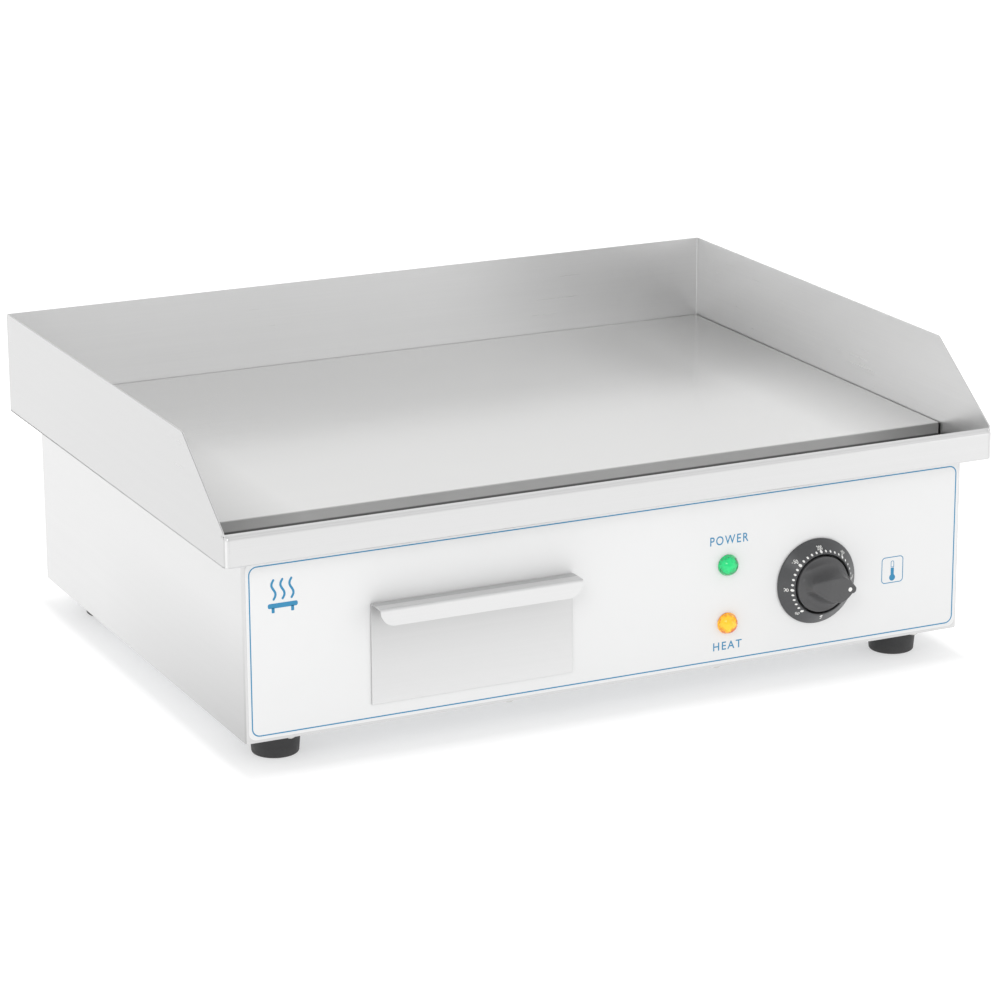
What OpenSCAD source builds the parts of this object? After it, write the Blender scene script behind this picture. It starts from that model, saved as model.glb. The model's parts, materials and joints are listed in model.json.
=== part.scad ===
// Countertop electric flat top griddle: steel plate in a splash tray, on a cabinet with a grease drawer.
// X is the width, Y runs from front to back, Z is up; the origin is on the counter under the middle.

/* [Splash tray] */
// Outer width of the tray
tray_w = 550; // [500:5:700]
// Depth of the tray, front skirt to rear wall
tray_d = 413; // [400:1:460]
// Height of the front skirt
skirt_h = 20.4; // [18:0.2:24]
// Height of the side and rear walls
splash_h = 70; // [55:1:110]
// Depth of the slanted front of a side wall
slant_d = 69; // [40:1:90]
// Radius of the skirt's bends
skirt_r = 3; // [2:0.5:3]
// Depth of the lip that turns back from the skirt
lip_d = 6; // [5:0.5:8]

/* [Cabinet] */
// Width of the cabinet
cabinet_w = 519; // [480:1:540]
// Depth of the cabinet
cabinet_d = 380; // [370:1:390]
// Height of the cabinet
cabinet_h = 120; // [118:1:130]
// Distance that the cabinet's front stands behind the skirt
front_inset = 13; // [12:0.5:20]
// Sheet thickness
sheet = 1; // [0.8:0.1:1]
// Bend radius at the cabinet's front corners
cabinet_r = 2.5; // [2:0.5:4]

/* [Plate and trough] */
// Thickness of the cooking plate
plate_t = 9.2; // [6:0.2:12]
// Width of the grease trough between skirt and plate
trough_w = 63.5; // [55:0.5:70]
// Gap between the plate and the splash walls
plate_gap = 0.6; // [0.4:0.1:1.5]

/* [Drawer] */
// Left edge of the drawer's front
drawer_x = -174.3; // [-200:0.1:-170]
// Width of the drawer's front
drawer_w = 141.2; // [120:0.1:150]
// Height of the drawer's lower edge above the cabinet's lower edge
drawer_z = 13.2; // [12:0.1:16]
// Height of the drawer's front
drawer_h = 67.6; // [60:0.1:70]
// Length of the drawer's box
drawer_l = 196; // [150:1:200]
// Depth of the handle's top flange
handle_d = 15.6; // [12:0.1:18]
// Height of the handle's lip
handle_h = 11.6; // [10:0.1:16]

/* [Controls] */
// Distance of the knob's axis from the middle
knob_x = 147.6; // [140:0.2:155]
// Height of the knob's axis above the cabinet's lower edge
knob_z = 49.5; // [45:0.5:55]
// Distance of the lamps from the middle
lamp_x = 81; // [70:1:90]
// Half of the distance between the lamps
lamp_pitch = 20; // [16:1:24]
// How far the knob's front stands out from the panel
knob_out = 22; // [20:0.5:26]
// Angle of the pointer below the horizontal with the knob at its maximum
pointer_drop = 9; // [0:1:15]

/* [Feet] */
// Height of the feet
foot_h = 19.5; // [15:0.5:40]
// Distance of the feet from the middle
foot_x = 227.5; // [200:0.5:235]
// Distance of the front feet behind the cabinet's front
foot_front = 31.5; // [30:0.5:40]
// Distance of the rear feet in front of the cabinet's back
foot_rear = 36; // [30:0.5:60]

/* [Hidden] */

eps = 0.1;             // overshoot of a cutting body past a face
clear = 0.3;           // gap between neighbours that don't move
loose = 0.05;          // radial play of a screw or tube in its hole
round_fn = 96;         // facets of large round shapes
small_fn = 40;         // facets of screws and tubes

// Heights above the cabinet's lower edge
deck_z = cabinet_h;
plate_z = deck_z + sheet;
skirt_top = deck_z + skirt_h;
splash_top = deck_z + splash_h;

// Depths behind the skirt's front face
panel_y = front_inset;
back_y = front_inset + cabinet_d;
inner_y = panel_y + sheet;
plate_front = trough_w;
plate_back = tray_d - sheet - plate_gap;

// The frame: the origin lies under the middle of the whole depth, knob included
front_reach = knob_out - front_inset;
skirt_y = (front_reach - tray_d) / 2;

tray_half = tray_w / 2;
cab_half = cabinet_w / 2;
flange = 12;           // width of the shell's inward flanges
rear_flange = 6;       // width of the rear panel's top flange
film_t = 0.3;
film_y = panel_y - film_t;
film_margin = 2;

// Opening in the tray's floor, under the plate
hatch_x = 238;
hatch_front = 86;
hatch_back = 388;
hatch_r = 10;

// Grease drain
drain_r = 12;
drain_wall = 1;
drain_y = 33;
drain_end = 82;
drain_x = drawer_x + drawer_w / 2;

// Drawer
drawer_front_y = film_y - clear - sheet;
box_margin = 6.8;
box_x = drawer_x + box_margin;
box_w = drawer_w - 2 * box_margin;
box_z = 19;
box_h = 54;
slide_gap = 1;
opening_x = box_x - slide_gap;
opening_w = box_w + 2 * slide_gap;
opening_z = box_z - slide_gap;
opening_h = box_h + 2 * slide_gap;
housing_l = drawer_l + 6;
housing_floor = box_z - clear - sheet;
bend_r = 2;
handle_corner = 10;

// Heating elements
element_r = 4.1;
element_pitch = 36;
element_z = plate_z - loose - element_r;
element_left = -202;
element_right = 180;
element_end = 215;
element_drop = 10;
element_stub = 100;
front_element_y = 98;
rear_element_y = 248;
runs = [0, 1, 2, 3];
insulator_r = 6;
insulator_neck = 4.8;
insulator_z = 84;
insulator_collar = 4;
pin_r = 2;
pin_z = 72;
pin_depth = 9;

// Clamping under the plate
stud_r = 3;
stud_len = 18;
stud_x = [-160, 0, 160];
stud_y = [116, 188, 266, 338];
bar_w = 20;
bar_t = 3;
bar_top = element_z - element_r - loose;
nut_af = 10;
nut_h = 5;

// Insulation and heat shield
shield_floor = 91;
shield_x = 236;
shield_front = 88;
shield_back = 386;
blanket_h = 10.5;
blanket_right = 205;

// Thermostat, behind the panel
screw_gap = 14;
shaft_r = 3;
shaft_flat = 1.6;      // distance of the spindle's flat from its axis
shaft_play = 0.05;
collar_r = 4.8;
collar_len = 2.5;
bridge_t = 1.5;
therm_w = 44;
therm_h = 36;
therm_d = 30;
therm_y = inner_y + bridge_t;
shaft_tip = 17;
shaft_depth = 8;       // how far the spindle's bore goes into the body
fixing_r = 1.7;        // shank of the two fixing screws
fixing_hole = 2.2;
therm_tab = 12;        // distance of the terminals from the spindle's axis

// Dial and knob, as distances in front of the film
bezel_r = 29.3;
bezel_rim = 2;
bezel_top = 9.6;
bezel_top_r = 21.5;
bezel_bore = 20.5;
bezel_floor = 1.6;
cap_r = 19.4;
cap_base = 5;
cap_top = 10.4;
grip_front = knob_out - film_t;
hub_r = 6.5;

// Lamps
lamp_r = 5;
lens_r = 7.2;
lens_out = 7;
lamp_len = 24;

// Sensor
bulb_y = 227;
bulb_r = 3;
bulb_len = 90;
bulb_x = 40;
capillary_r = 0.8;

// Fastenings and services
foot_hole = 2.6;
foot_recess = 9;
foot_recess_r = 5.5;
foot_head = 3;
foot_head_r = 4.5;
foot_screw_end = 7;
base_screw_x = [-228, -76, 76, 228];
side_screw_y = [150, 280];
base_screw_inset = 5;
screw_hole = 2;
screw_shank = 1.9;
screw_len = 7;
rear_screw_z = [20, 100];
gland_x = 190;
gland_z = 40;
gland_r = 10;
gland_bore = 5;
gland_hex = 26;
bond_x = 120;
bond_len = 16;
bond_tip_r = 2.5;
bond_washer_r = 6.5;
bond_head = 4;
washer_t = 1.2;
block_x = 160;
block_y = 335;
block_w = 45;
block_d = 22;
block_h = 18;
wire_z = 9;            // height of the block's wire ways
wire_r = 2.4;
clamp_y = 5;           // distance of the clamp screws from the block's middle
clamp_r = 1.5;
cutout_x = 60;
cutout_y = 300;
cutout_tab = 4;        // distance of the cut-out's tabs from its middle
cutout_end = -17;      // height of the tabs' ends below the shield
lead_r = 1.4;

function arc_points(cx, cy, r, a0, a1, n) =
    [for (i = [0:n]) [cx + r * cos(a0 + (a1 - a0) * i / n), cy + r * sin(a0 + (a1 - a0) * i / n)]];

// Moves a shape from the skirt's front lower corner frame into the row's frame
module placed() {
    translate([0, skirt_y, foot_h]) children();
}

// Box between two corners
module block(low, high) {
    translate(low) cube(high - low);
}

// Upright cylinder from a height to a height
module post(x, y, z0, z1, r, fn = small_fn) {
    translate([x, y, z0]) cylinder(r = r, h = z1 - z0, $fn = fn);
}

// Cylinder along Y, from a depth to a depth
module rod_y(x, z, y0, y1, r, fn = small_fn) {
    translate([x, y1, z]) rotate([90, 0, 0]) cylinder(r = r, h = y1 - y0, $fn = fn);
}

// Rectangle with true round corners
module round_rect(x0, y0, x1, y1, r) {
    translate([x0 + r, y0]) square([x1 - x0 - 2 * r, y1 - y0]);
    translate([x0, y0 + r]) square([x1 - x0, y1 - y0 - 2 * r]);
    for (x = [x0 + r, x1 - r], y = [y0 + r, y1 - r]) translate([x, y]) circle(r = r, $fn = small_fn);
}

// Upright plate in the XZ plane from a 2D shape, between two depths
module panel(y0, y1) {
    translate([0, y1, 0]) rotate([90, 0, 0]) linear_extrude(y1 - y0) children();
}

// Hexagonal nut on an upright axis, with its bore
module hex_nut(af, h, bore) {
    difference() {
        cylinder(d = af / cos(30), h = h, $fn = 6);
        translate([0, 0, -eps]) cylinder(r = bore, h = h + 2 * eps, $fn = small_fn);
    }
}

function unit(v) = v / norm(v);

// Route with its corners rounded off, each over a length of at most b
function rounded(p, b) = concat([p[0]],
    [for (i = [1:len(p) - 2], t = [0, 0.5, 1])
        let (
            back = p[i - 1] - p[i],
            on = p[i + 1] - p[i],
            start = p[i] + unit(back) * min(b, 0.45 * norm(back)),
            end = p[i] + unit(on) * min(b, 0.45 * norm(on))
        )
        (1 - t) * (1 - t) * start + 2 * t * (1 - t) * p[i] + t * t * end],
    [p[len(p) - 1]]);

// Direction of a route at each of its points
function tangents(p) = [for (i = [0:len(p) - 1])
    unit(p[min(i + 1, len(p) - 1)] - p[max(i - 1, 0)])];

// Normal at each point, carried along the route without twist
function normals(t) = [for (
    i = 0, u = unit(cross(t[0], abs(t[0][2]) < 0.9 ? [0, 0, 1] : [1, 0, 0]));
    i < len(t);
    i = i + 1, u = i < len(t) ? unit(u - (u * t[i]) * t[i]) : u) u];

// Round tube along a route of chosen points
module routed(route, r) {
    sides = 8;
    p = rounded(route, 8 * r);
    t = tangents(p);
    u = normals(t);
    last = len(p) - 1;
    points = [for (i = [0:last], j = [0:sides - 1])
        let (a = 360 * j / sides) p[i] + r * (cos(a) * u[i] + sin(a) * cross(t[i], u[i]))];
    walls = [for (i = [0:last - 1], j = [0:sides - 1], half = [0, 1])
        let (k = (j + 1) % sides, low = i * sides, high = low + sides)
        half == 0 ? [low + j, high + k, low + k] : [low + j, high + j, high + k]];
    start = [for (j = [0:sides - 1]) j];
    end = [for (j = [sides - 1:-1:0]) last * sides + j];
    polyhedron(points, concat(walls, [start, end]), convexity = 6);
}

// ---------------------------------------------------------------- plate and tray

module griddle_plate() {
    color("#c4c4c4") placed() difference() {
        block([-tray_half + sheet + plate_gap, plate_front, plate_z],
            [tray_half - sheet - plate_gap, plate_back, plate_z + plate_t]);
        // shallow chamfer along the front's lower edge, above the trough
        translate([0, plate_front, plate_z]) rotate([45, 0, 0]) cube([tray_w, 1, 1], center = true);
    }
}

module plate_studs() {
    color("#9a9a98") placed() for (x = stud_x, y = stud_y)
        post(x, y, plate_z - stud_len, plate_z, stud_r);
}

// Section of the skirt with its lip, in the YZ plane; the outer bend is round
module skirt_section(reach) {
    inner_r = skirt_r - sheet;
    polygon(concat([[0, deck_z]],
        arc_points(skirt_r, skirt_top - skirt_r, skirt_r, 180, 90, 8),
        [[reach, skirt_top], [reach, skirt_top - sheet]],
        arc_points(skirt_r, skirt_top - skirt_r, inner_r, 90, 180, 8),
        [[sheet, deck_z]]));
}

// Round upright corner between the skirt and a side wall
module skirt_corner() {
    translate([tray_half - skirt_r, skirt_r, 0]) rotate([0, 0, -90])
        rotate_extrude(angle = 90, $fn = round_fn) polygon(concat(
            [[skirt_r - sheet, deck_z], [skirt_r, deck_z]],
            arc_points(0, skirt_top - skirt_r, skirt_r, 0, 90, 8),
            arc_points(0, skirt_top - skirt_r, skirt_r - sheet, 90, 0, 8)));
}

module tray_floor() {
    translate([0, 0, deck_z]) linear_extrude(sheet) difference() {
        translate([-tray_half + sheet, sheet]) square([tray_w - 2 * sheet, tray_d - 2 * sheet]);
        round_rect(-hatch_x, hatch_front, hatch_x, hatch_back, hatch_r);
        translate([drain_x, drain_y]) circle(r = drain_r + loose, $fn = small_fn);
        for (x = [-1, 1]) translate([x * (tray_half - sheet), sheet]) circle(r = skirt_r, $fn = small_fn);
    }
}

module grease_tray() {
    skirt_half = tray_half - skirt_r;
    color("#dedede") placed() union() {
        tray_floor();
        rotate([90, 0, 90]) translate([0, 0, -skirt_half]) linear_extrude(2 * skirt_half)
            skirt_section(lip_d);
        for (side = [0, 1]) mirror([side, 0, 0]) {
            skirt_corner();
            block([skirt_half, skirt_r, skirt_top - sheet], [tray_half - sheet, lip_d, skirt_top]);
            block([skirt_half - sheet, sheet, deck_z], [tray_half - sheet, skirt_r + sheet, plate_z]);
        }
    }
}

module splash_side(side) {
    placed() translate([side > 0 ? tray_half - sheet : -tray_half, 0, 0])
        rotate([90, 0, 90]) linear_extrude(sheet)
        polygon([[skirt_r, deck_z], [tray_d, deck_z], [tray_d, splash_top], [slant_d, splash_top],
            [skirt_r, skirt_top + skirt_r / 2]]);
}

module splash_left() {
    color("#dcdcdc") splash_side(-1);
}

module splash_right() {
    color("#d8d8d8") splash_side(1);
}

module splash_back() {
    color("#c6c6c6") placed() block([-tray_half + sheet, tray_d - sheet, deck_z],
        [tray_half - sheet, tray_d, splash_top]);
}

module drain_spout() {
    color("#b8b8b8") placed() difference() {
        post(drain_x, drain_y, drain_end, plate_z, drain_r);
        post(drain_x, drain_y, drain_end - eps, plate_z + eps, drain_r - drain_wall);
    }
}

// ---------------------------------------------------------------- cabinet

// Openings of the control panel, in the XZ plane
module panel_openings(play) {
    translate([opening_x - play, opening_z - play]) square([opening_w + 2 * play, opening_h + 2 * play]);
    translate([knob_x, knob_z]) circle(r = collar_r + clear, $fn = small_fn);
    for (s = [-1, 1]) {
        translate([knob_x + s * screw_gap, knob_z]) circle(r = fixing_hole, $fn = small_fn);
        translate([lamp_x, knob_z + s * lamp_pitch]) circle(r = lamp_r + loose, $fn = small_fn);
    }
}

// Plan of the shell's vertical sheets
module shell_plan() {
    difference() {
        union() {
            translate([-cab_half, panel_y + cabinet_r]) square([cabinet_w, cabinet_d - cabinet_r]);
            translate([-cab_half + cabinet_r, panel_y]) square([cabinet_w - 2 * cabinet_r, cabinet_r]);
            for (s = [-1, 1]) translate([s * (cab_half - cabinet_r), panel_y + cabinet_r])
                circle(r = cabinet_r, $fn = small_fn);
        }
        translate([-cab_half + sheet, inner_y]) square([cabinet_w - 2 * sheet, cabinet_d]);
    }
}

module base_screw_places() {
    for (x = base_screw_x) translate([x, panel_y + base_screw_inset]) children();
    for (s = [-1, 1], y = side_screw_y) translate([s * (cab_half - base_screw_inset), y]) children();
}

module rear_screw_places() {
    for (s = [-1, 1], z = rear_screw_z) translate([s * (cab_half - sheet - flange / 2), z]) children();
}

// Flange that runs round the inside of the front and sides at one height; the upper one clears the spout
module shell_flange(z) {
    translate([0, 0, z]) linear_extrude(sheet) difference() {
        translate([-cab_half + sheet / 2, inner_y - sheet / 2])
            square([cabinet_w - sheet, cabinet_d - 2 * sheet + sheet / 2 - clear]);
        translate([-cab_half + sheet + flange, inner_y + flange])
            square([cabinet_w - 2 * (sheet + flange), cabinet_d]);
        if (z < cabinet_h / 2) base_screw_places() circle(r = screw_hole, $fn = small_fn);
        if (z > cabinet_h / 2) translate([drain_x, drain_y]) circle(r = drain_r + clear, $fn = small_fn);
    }
}

module cabinet_shell() {
    color("#e6e6e6") placed() difference() {
        union() {
            linear_extrude(cabinet_h) shell_plan();
            shell_flange(sheet);
            shell_flange(cabinet_h - sheet);
            for (s = [-1, 1], x = [s * (cab_half - sheet - flange / 2)])
                translate([x - flange / 2 - loose, back_y - 2 * sheet, 2 * sheet])
                    cube([flange + 2 * loose, sheet - loose, cabinet_h - 3 * sheet]);
        }
        panel(panel_y - eps, inner_y + eps) panel_openings(0);
        panel(back_y - 3 * sheet, back_y) rear_screw_places() circle(r = screw_hole, $fn = small_fn);
    }
}

module rear_panel() {
    half = cab_half - sheet - clear;
    vents = [-150:12:-30];
    vent_half = 1.5;
    vent_low = 35;
    vent_high = 75;
    color("#cfcfcf") placed() union() {
        panel(back_y - sheet, back_y) difference() {
            translate([-half, sheet + clear]) square([2 * half, cabinet_h - 2 * sheet - clear]);
            for (x = vents) round_rect(x - vent_half, vent_low, x + vent_half, vent_high, vent_half - eps);
            translate([gland_x, gland_z]) circle(r = gland_r + loose, $fn = small_fn);
            translate([bond_x, gland_z]) circle(r = stud_r + loose, $fn = small_fn);
            rear_screw_places() circle(r = screw_hole, $fn = small_fn);
        }
        block([-half + flange + sheet, back_y - rear_flange, cabinet_h - sheet],
            [half - flange - sheet, back_y, cabinet_h]);
    }
}

module base_plate() {
    half = cab_half - sheet - clear;
    front = inner_y + clear;
    back = back_y - clear;
    vents = [20:14:104];
    vent_half = 2;
    vent_front = 150;
    vent_back = 230;
    color("#bdbdbd") placed() linear_extrude(sheet) difference() {
        translate([-half, front]) square([2 * half, back - front]);
        base_screw_places() circle(r = screw_hole, $fn = small_fn);
        foot_places() circle(r = foot_hole + loose, $fn = small_fn);
        for (x = vents) round_rect(x - vent_half, vent_front, x + vent_half, vent_back, vent_half - eps);
    }
}

module panel_film() {
    color("#f0f0f0") placed() panel(film_y, panel_y) difference() {
        round_rect(-cab_half + film_margin, film_margin, cab_half - film_margin,
            cabinet_h - film_margin, 5);
        panel_openings(clear);
    }
}

module foot_places() {
    for (x = [-foot_x, foot_x], y = [panel_y + foot_front, back_y - foot_rear]) translate([x, y]) children();
}

// Tapered rubber foot with a recess for its screw
module foot(x, y) {
    top_r = 17;
    low_r = 15.3;
    edge = 1.5;
    color("#2f2f2f") placed() translate([x, y, -foot_h]) difference() {
        rotate_extrude($fn = round_fn) polygon(concat([[0, 0]],
            arc_points(low_r - edge, edge, edge, -90, 0, 4),
            arc_points(top_r - 1, foot_h - 1, 1, 0, 90, 4), [[0, foot_h]]));
        translate([0, 0, -eps]) cylinder(r = foot_recess_r, h = foot_recess + eps, $fn = small_fn);
        translate([0, 0, -eps]) cylinder(r = foot_hole + loose, h = foot_h + 2 * eps, $fn = small_fn);
    }
}

module foot_front_left() {
    foot(-foot_x, panel_y + foot_front);
}

module foot_front_right() {
    foot(foot_x, panel_y + foot_front);
}

module foot_rear_left() {
    foot(-foot_x, back_y - foot_rear);
}

module foot_rear_right() {
    foot(foot_x, back_y - foot_rear);
}

// Screws whose heads sit in the feet
module foot_screws() {
    head_z = foot_recess - foot_h;
    socket_r = 2.4;
    socket_depth = 1.8;
    color("#8d8d8d") placed() foot_places() difference() {
        union() {
            translate([0, 0, head_z - foot_head]) cylinder(r = foot_head_r, h = foot_head, $fn = small_fn);
            translate([0, 0, head_z - eps])
                cylinder(r = foot_hole - loose, h = foot_screw_end + eps - head_z, $fn = small_fn);
        }
        translate([0, 0, head_z - foot_head - eps]) cylinder(r = socket_r, h = socket_depth, $fn = 6);
    }
}

module foot_nuts() {
    color("#a5a5a3") placed() foot_places() translate([0, 0, sheet]) hex_nut(8, 4, foot_hole);
}

// Screw with a domed cross-slot head below its origin and its shank above
module sheet_screw() {
    slot_w = 0.8;
    slot_l = 3.6;
    slot_z = -1.8;
    slot_depth = 1.2;
    difference() {
        union() {
            rotate_extrude($fn = small_fn) polygon([[0, 0], [3.6, 0], [3.4, -1], [2.4, -1.8], [0, -2.1]]);
            cylinder(r = screw_shank, h = screw_len, $fn = small_fn);
        }
        translate([0, 0, slot_z]) cube([slot_w, slot_l, slot_depth], center = true);
        translate([0, 0, slot_z]) cube([slot_l, slot_w, slot_depth], center = true);
    }
}

module base_screws() {
    color("#d2d2d2") placed() base_screw_places() sheet_screw();
}

module rear_screws() {
    color("#d2d2d2") placed() translate([0, back_y, 0]) rotate([90, 0, 0]) rear_screw_places() sheet_screw();
}

// ---------------------------------------------------------------- heating

// Bend in the element's plane, from one run to the next
module element_turn(x, y, side) {
    translate([x, y + element_pitch / 2, element_z]) rotate([0, 0, side > 0 ? -90 : 90])
        rotate_extrude(angle = 180, $fn = 48) translate([element_pitch / 2, 0])
            circle(r = element_r, $fn = 24);
}

// Quarter bend down to a terminal
module element_tail(y) {
    translate([element_end, y, element_z - element_drop]) rotate([90, 0, 0])
        rotate_extrude(angle = 90, $fn = 48) translate([element_drop, 0]) circle(r = element_r, $fn = 24);
    post(element_end + element_drop, y, element_stub, element_z - element_drop, element_r, 24);
}

// Tubular element: four runs, three turns and two tails
module heating_element(y0) {
    color("#7b7570") placed() union() {
        for (i = runs) {
            y = y0 + i * element_pitch;
            end = (i == 0 || i == 3) ? element_end : element_right;
            translate([element_left, y, element_z]) rotate([0, 90, 0])
                cylinder(r = element_r, h = end - element_left, $fn = 24);
        }
        element_turn(element_left, y0, -1);
        element_turn(element_right, y0 + element_pitch, 1);
        element_turn(element_left, y0 + 2 * element_pitch, -1);
        element_tail(y0);
        element_tail(y0 + 3 * element_pitch);
    }
}

module heating_element_front() {
    heating_element(front_element_y);
}

module heating_element_rear() {
    heating_element(rear_element_y);
}

module tail_places() {
    for (y0 = [front_element_y, rear_element_y], i = [0, 3])
        translate([element_end + element_drop, y0 + i * element_pitch, 0]) children();
}

module element_insulators() {
    color("#efe9dc") placed() tail_places() difference() {
        union() {
            post(0, 0, insulator_z, element_stub, insulator_neck);
            post(0, 0, shield_floor + sheet, shield_floor + sheet + insulator_collar, insulator_r);
        }
        post(0, 0, insulator_z - eps, insulator_z + pin_depth + 1, pin_r + loose);
    }
}

module element_pins() {
    color("#b9b19a") placed() tail_places() {
        post(0, 0, pin_z, insulator_z + pin_depth, pin_r);
        post(0, 0, pin_z + 4, pin_z + 7, 4, 6);
    }
}

module clamp_bars() {
    color("#8f8f8c") placed() for (x = stud_x) difference() {
        block([x - bar_w / 2, 90, bar_top - bar_t], [x + bar_w / 2, 364, bar_top]);
        for (y = stud_y) post(x, y, bar_top - bar_t - eps, bar_top + eps, stud_r + clear);
    }
}

module clamp_nuts() {
    color("#b0b0ac") placed() for (x = stud_x, y = stud_y)
        translate([x, y, bar_top - bar_t - nut_h]) hex_nut(nut_af, nut_h, stud_r + loose);
}

module insulation_blanket() {
    color("#ece8dd") placed() block([-shield_x + 3, shield_front + 3, shield_floor + sheet],
        [blanket_right, shield_back - 3, shield_floor + sheet + blanket_h]);
}

// Shallow pan that keeps the heat under the plate
module heat_shield() {
    wall_top = deck_z - clear;
    color("#a9abad") placed() difference() {
        block([-shield_x, shield_front, shield_floor], [shield_x, shield_back, wall_top]);
        block([-shield_x + sheet, shield_front + sheet, shield_floor + sheet],
            [shield_x - sheet, shield_back - sheet, wall_top + eps]);
        tail_places() translate([0, 0, shield_floor - eps])
            cylinder(r = insulator_neck + loose, h = sheet + 2 * eps, $fn = small_fn);
        // slot where the sensor's tube comes in
        block([132, shield_front - eps, 105], [148, shield_front + sheet + eps, wall_top + eps]);
    }
}

// ---------------------------------------------------------------- thermostat, dial and lamps

module thermostat_body() {
    bridge = [20, 9];
    tab = [6.2, 8, 0.8];
    color("#ded8c8") placed() difference() {
        union() {
            block([knob_x - therm_w / 2, therm_y, knob_z - therm_h / 2],
                [knob_x + therm_w / 2, therm_y + therm_d, knob_z + therm_h / 2]);
            block([knob_x - bridge[0], inner_y, knob_z - bridge[1]],
                [knob_x + bridge[0], therm_y, knob_z + bridge[1]]);
            rod_y(knob_x, knob_z, inner_y - collar_len, inner_y + eps, collar_r);
            for (s = [-1, 1]) translate([knob_x + s * therm_tab - tab[0] / 2, therm_y + therm_d, knob_z + 4])
                cube(tab);
        }
        rod_y(knob_x, knob_z, inner_y - collar_len - eps, therm_y + shaft_depth, shaft_r + shaft_play);
        for (s = [-1, 1]) rod_y(knob_x + s * screw_gap, knob_z, inner_y - eps, therm_y + 6, fixing_r + loose);
    }
}

// Spindle with a flat where the knob grips it
module thermostat_shaft() {
    front = film_y - shaft_tip;
    color("#c9c9c6") placed() difference() {
        rod_y(knob_x, knob_z, front, therm_y + shaft_depth - 0.5, shaft_r);
        translate([knob_x, 0, knob_z]) rotate([0, pointer_drop, 0])
            block([-shaft_r, front - eps, shaft_flat], [shaft_r, film_y - cap_base + 1, shaft_r + eps]);
    }
}

module thermostat_screws() {
    head_y = film_y - bezel_floor;
    color("#cfcfcc") placed() for (s = [-1, 1], x = [knob_x + s * screw_gap]) {
        rod_y(x, knob_z, head_y - 2, head_y, 2 * fixing_r);
        rod_y(x, knob_z, head_y - eps, therm_y + 4, fixing_r);
    }
}

module capillary_tube() {
    top = knob_z + therm_h / 2;
    low_z = bar_top - bar_t - 1.5;
    color("#b0703c") placed() routed([[140, therm_y + 15, top], [140, therm_y + 15, 96], [140, 75, low_z],
        [140, bulb_y - 12, low_z], [140, bulb_y, plate_z - bulb_r - loose],
        [bulb_x + bulb_len, bulb_y, plate_z - bulb_r - loose]], capillary_r);
}

module sensor_bulb() {
    color("#b87a45") placed() translate([bulb_x, bulb_y, plate_z - bulb_r - loose]) rotate([0, 90, 0])
        cylinder(r = bulb_r, h = bulb_len, $fn = small_fn);
}

// Straps that press the bulb against the plate
module bulb_clips() {
    low = plate_z - 2 * bulb_r - 3 * loose;
    strap_half = [4, 9];
    strap_t = 0.8;
    leg_t = 1;
    leg_y = 7;
    color("#9c9c9a") placed() for (x = [bulb_x + 20, bulb_x + 70]) translate([x, bulb_y, 0]) {
        block([-strap_half[0], -strap_half[1], low - strap_t], [strap_half[0], strap_half[1], low]);
        for (s = [-1, 1]) translate([0, s * leg_y, 0])
            block([-strap_half[0], -leg_t / 2, low - loose], [strap_half[0], leg_t / 2, plate_z]);
    }
}

// Cup with a conical rim that carries the scale
module dial_bezel() {
    color("#3b3c3e") placed() translate([knob_x, film_y, knob_z]) rotate([90, 0, 0]) difference() {
        rotate_extrude($fn = round_fn) polygon(concat([[collar_r + 0.4, 0], [bezel_r, 0]],
            arc_points(bezel_r - 0.8, bezel_rim - 0.8, 0.8, 0, 60, 3),
            arc_points(bezel_top_r - 0.6, bezel_top - 0.6, 0.6, 55, 90, 3),
            [[bezel_bore, bezel_top], [bezel_bore, bezel_floor], [collar_r + 0.4, bezel_floor]]));
        for (s = [-1, 1]) translate([s * screw_gap, 0, -eps])
            cylinder(r = fixing_hole, h = bezel_floor + 2 * eps, $fn = small_fn);
    }
}

// Outline of the grip, seen from the front, with its pointer along +X: half widths and tail
module grip_outline(tip_r, wide_r, tail, tail_r) {
    hull() {
        translate([cap_r - tip_r, 0]) circle(r = tip_r, $fn = 32);
        circle(r = wide_r, $fn = 32);
        translate([-tail, 0]) circle(r = tail_r, $fn = 32);
    }
}

module knob() {
    color("#48494b") placed() translate([knob_x, film_y, knob_z]) rotate([90, 0, 0])
        rotate([0, 0, -pointer_drop]) difference() {
            union() {
                difference() {
                    rotate_extrude($fn = round_fn) polygon(concat([[0, cap_base], [cap_r, cap_base]],
                        arc_points(cap_r - 1, cap_top - 1, 1, 0, 75, 4),
                        [[cap_r * 0.6, cap_top + 0.7], [0, cap_top + 1.1]]));
                    translate([0, 0, cap_base - eps]) cylinder(r = cap_r - 1.8, h = 3.4, $fn = round_fn);
                }
                translate([0, 0, cap_base]) cylinder(r = hub_r, h = 6, $fn = small_fn);
                hull() {
                    translate([0, 0, cap_top]) linear_extrude(0.1) grip_outline(3.4, 8.5, 10, 4);
                    translate([0, 0, grip_front - 1]) linear_extrude(0.1) grip_outline(3, 5.6, 10, 1.8);
                    translate([0, 0, grip_front - 0.1]) linear_extrude(0.1) grip_outline(2.2, 4.8, 10, 1);
                }
            }
            difference() {
                translate([0, 0, cap_base - eps])
                    cylinder(r = shaft_r + 0.02, h = shaft_tip + 0.5 - cap_base, $fn = small_fn);
                translate([-shaft_r, 1.65, cap_base]) cube([2 * shaft_r, shaft_r, shaft_tip]);
            }
        }
}

// Domed lens with its stem, at one height of the panel
module lamp_lens(z) {
    placed() translate([lamp_x, film_y, z]) rotate([90, 0, 0]) rotate_extrude($fn = small_fn)
        polygon(concat([[0, 0], [lens_r, 0], [lens_r, 1.2]],
            [for (i = [1:6]) [(lens_r - 0.4) * cos(i * 15), 1.2 + (lens_out - 1.2) * sin(i * 15)]]));
}

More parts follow.
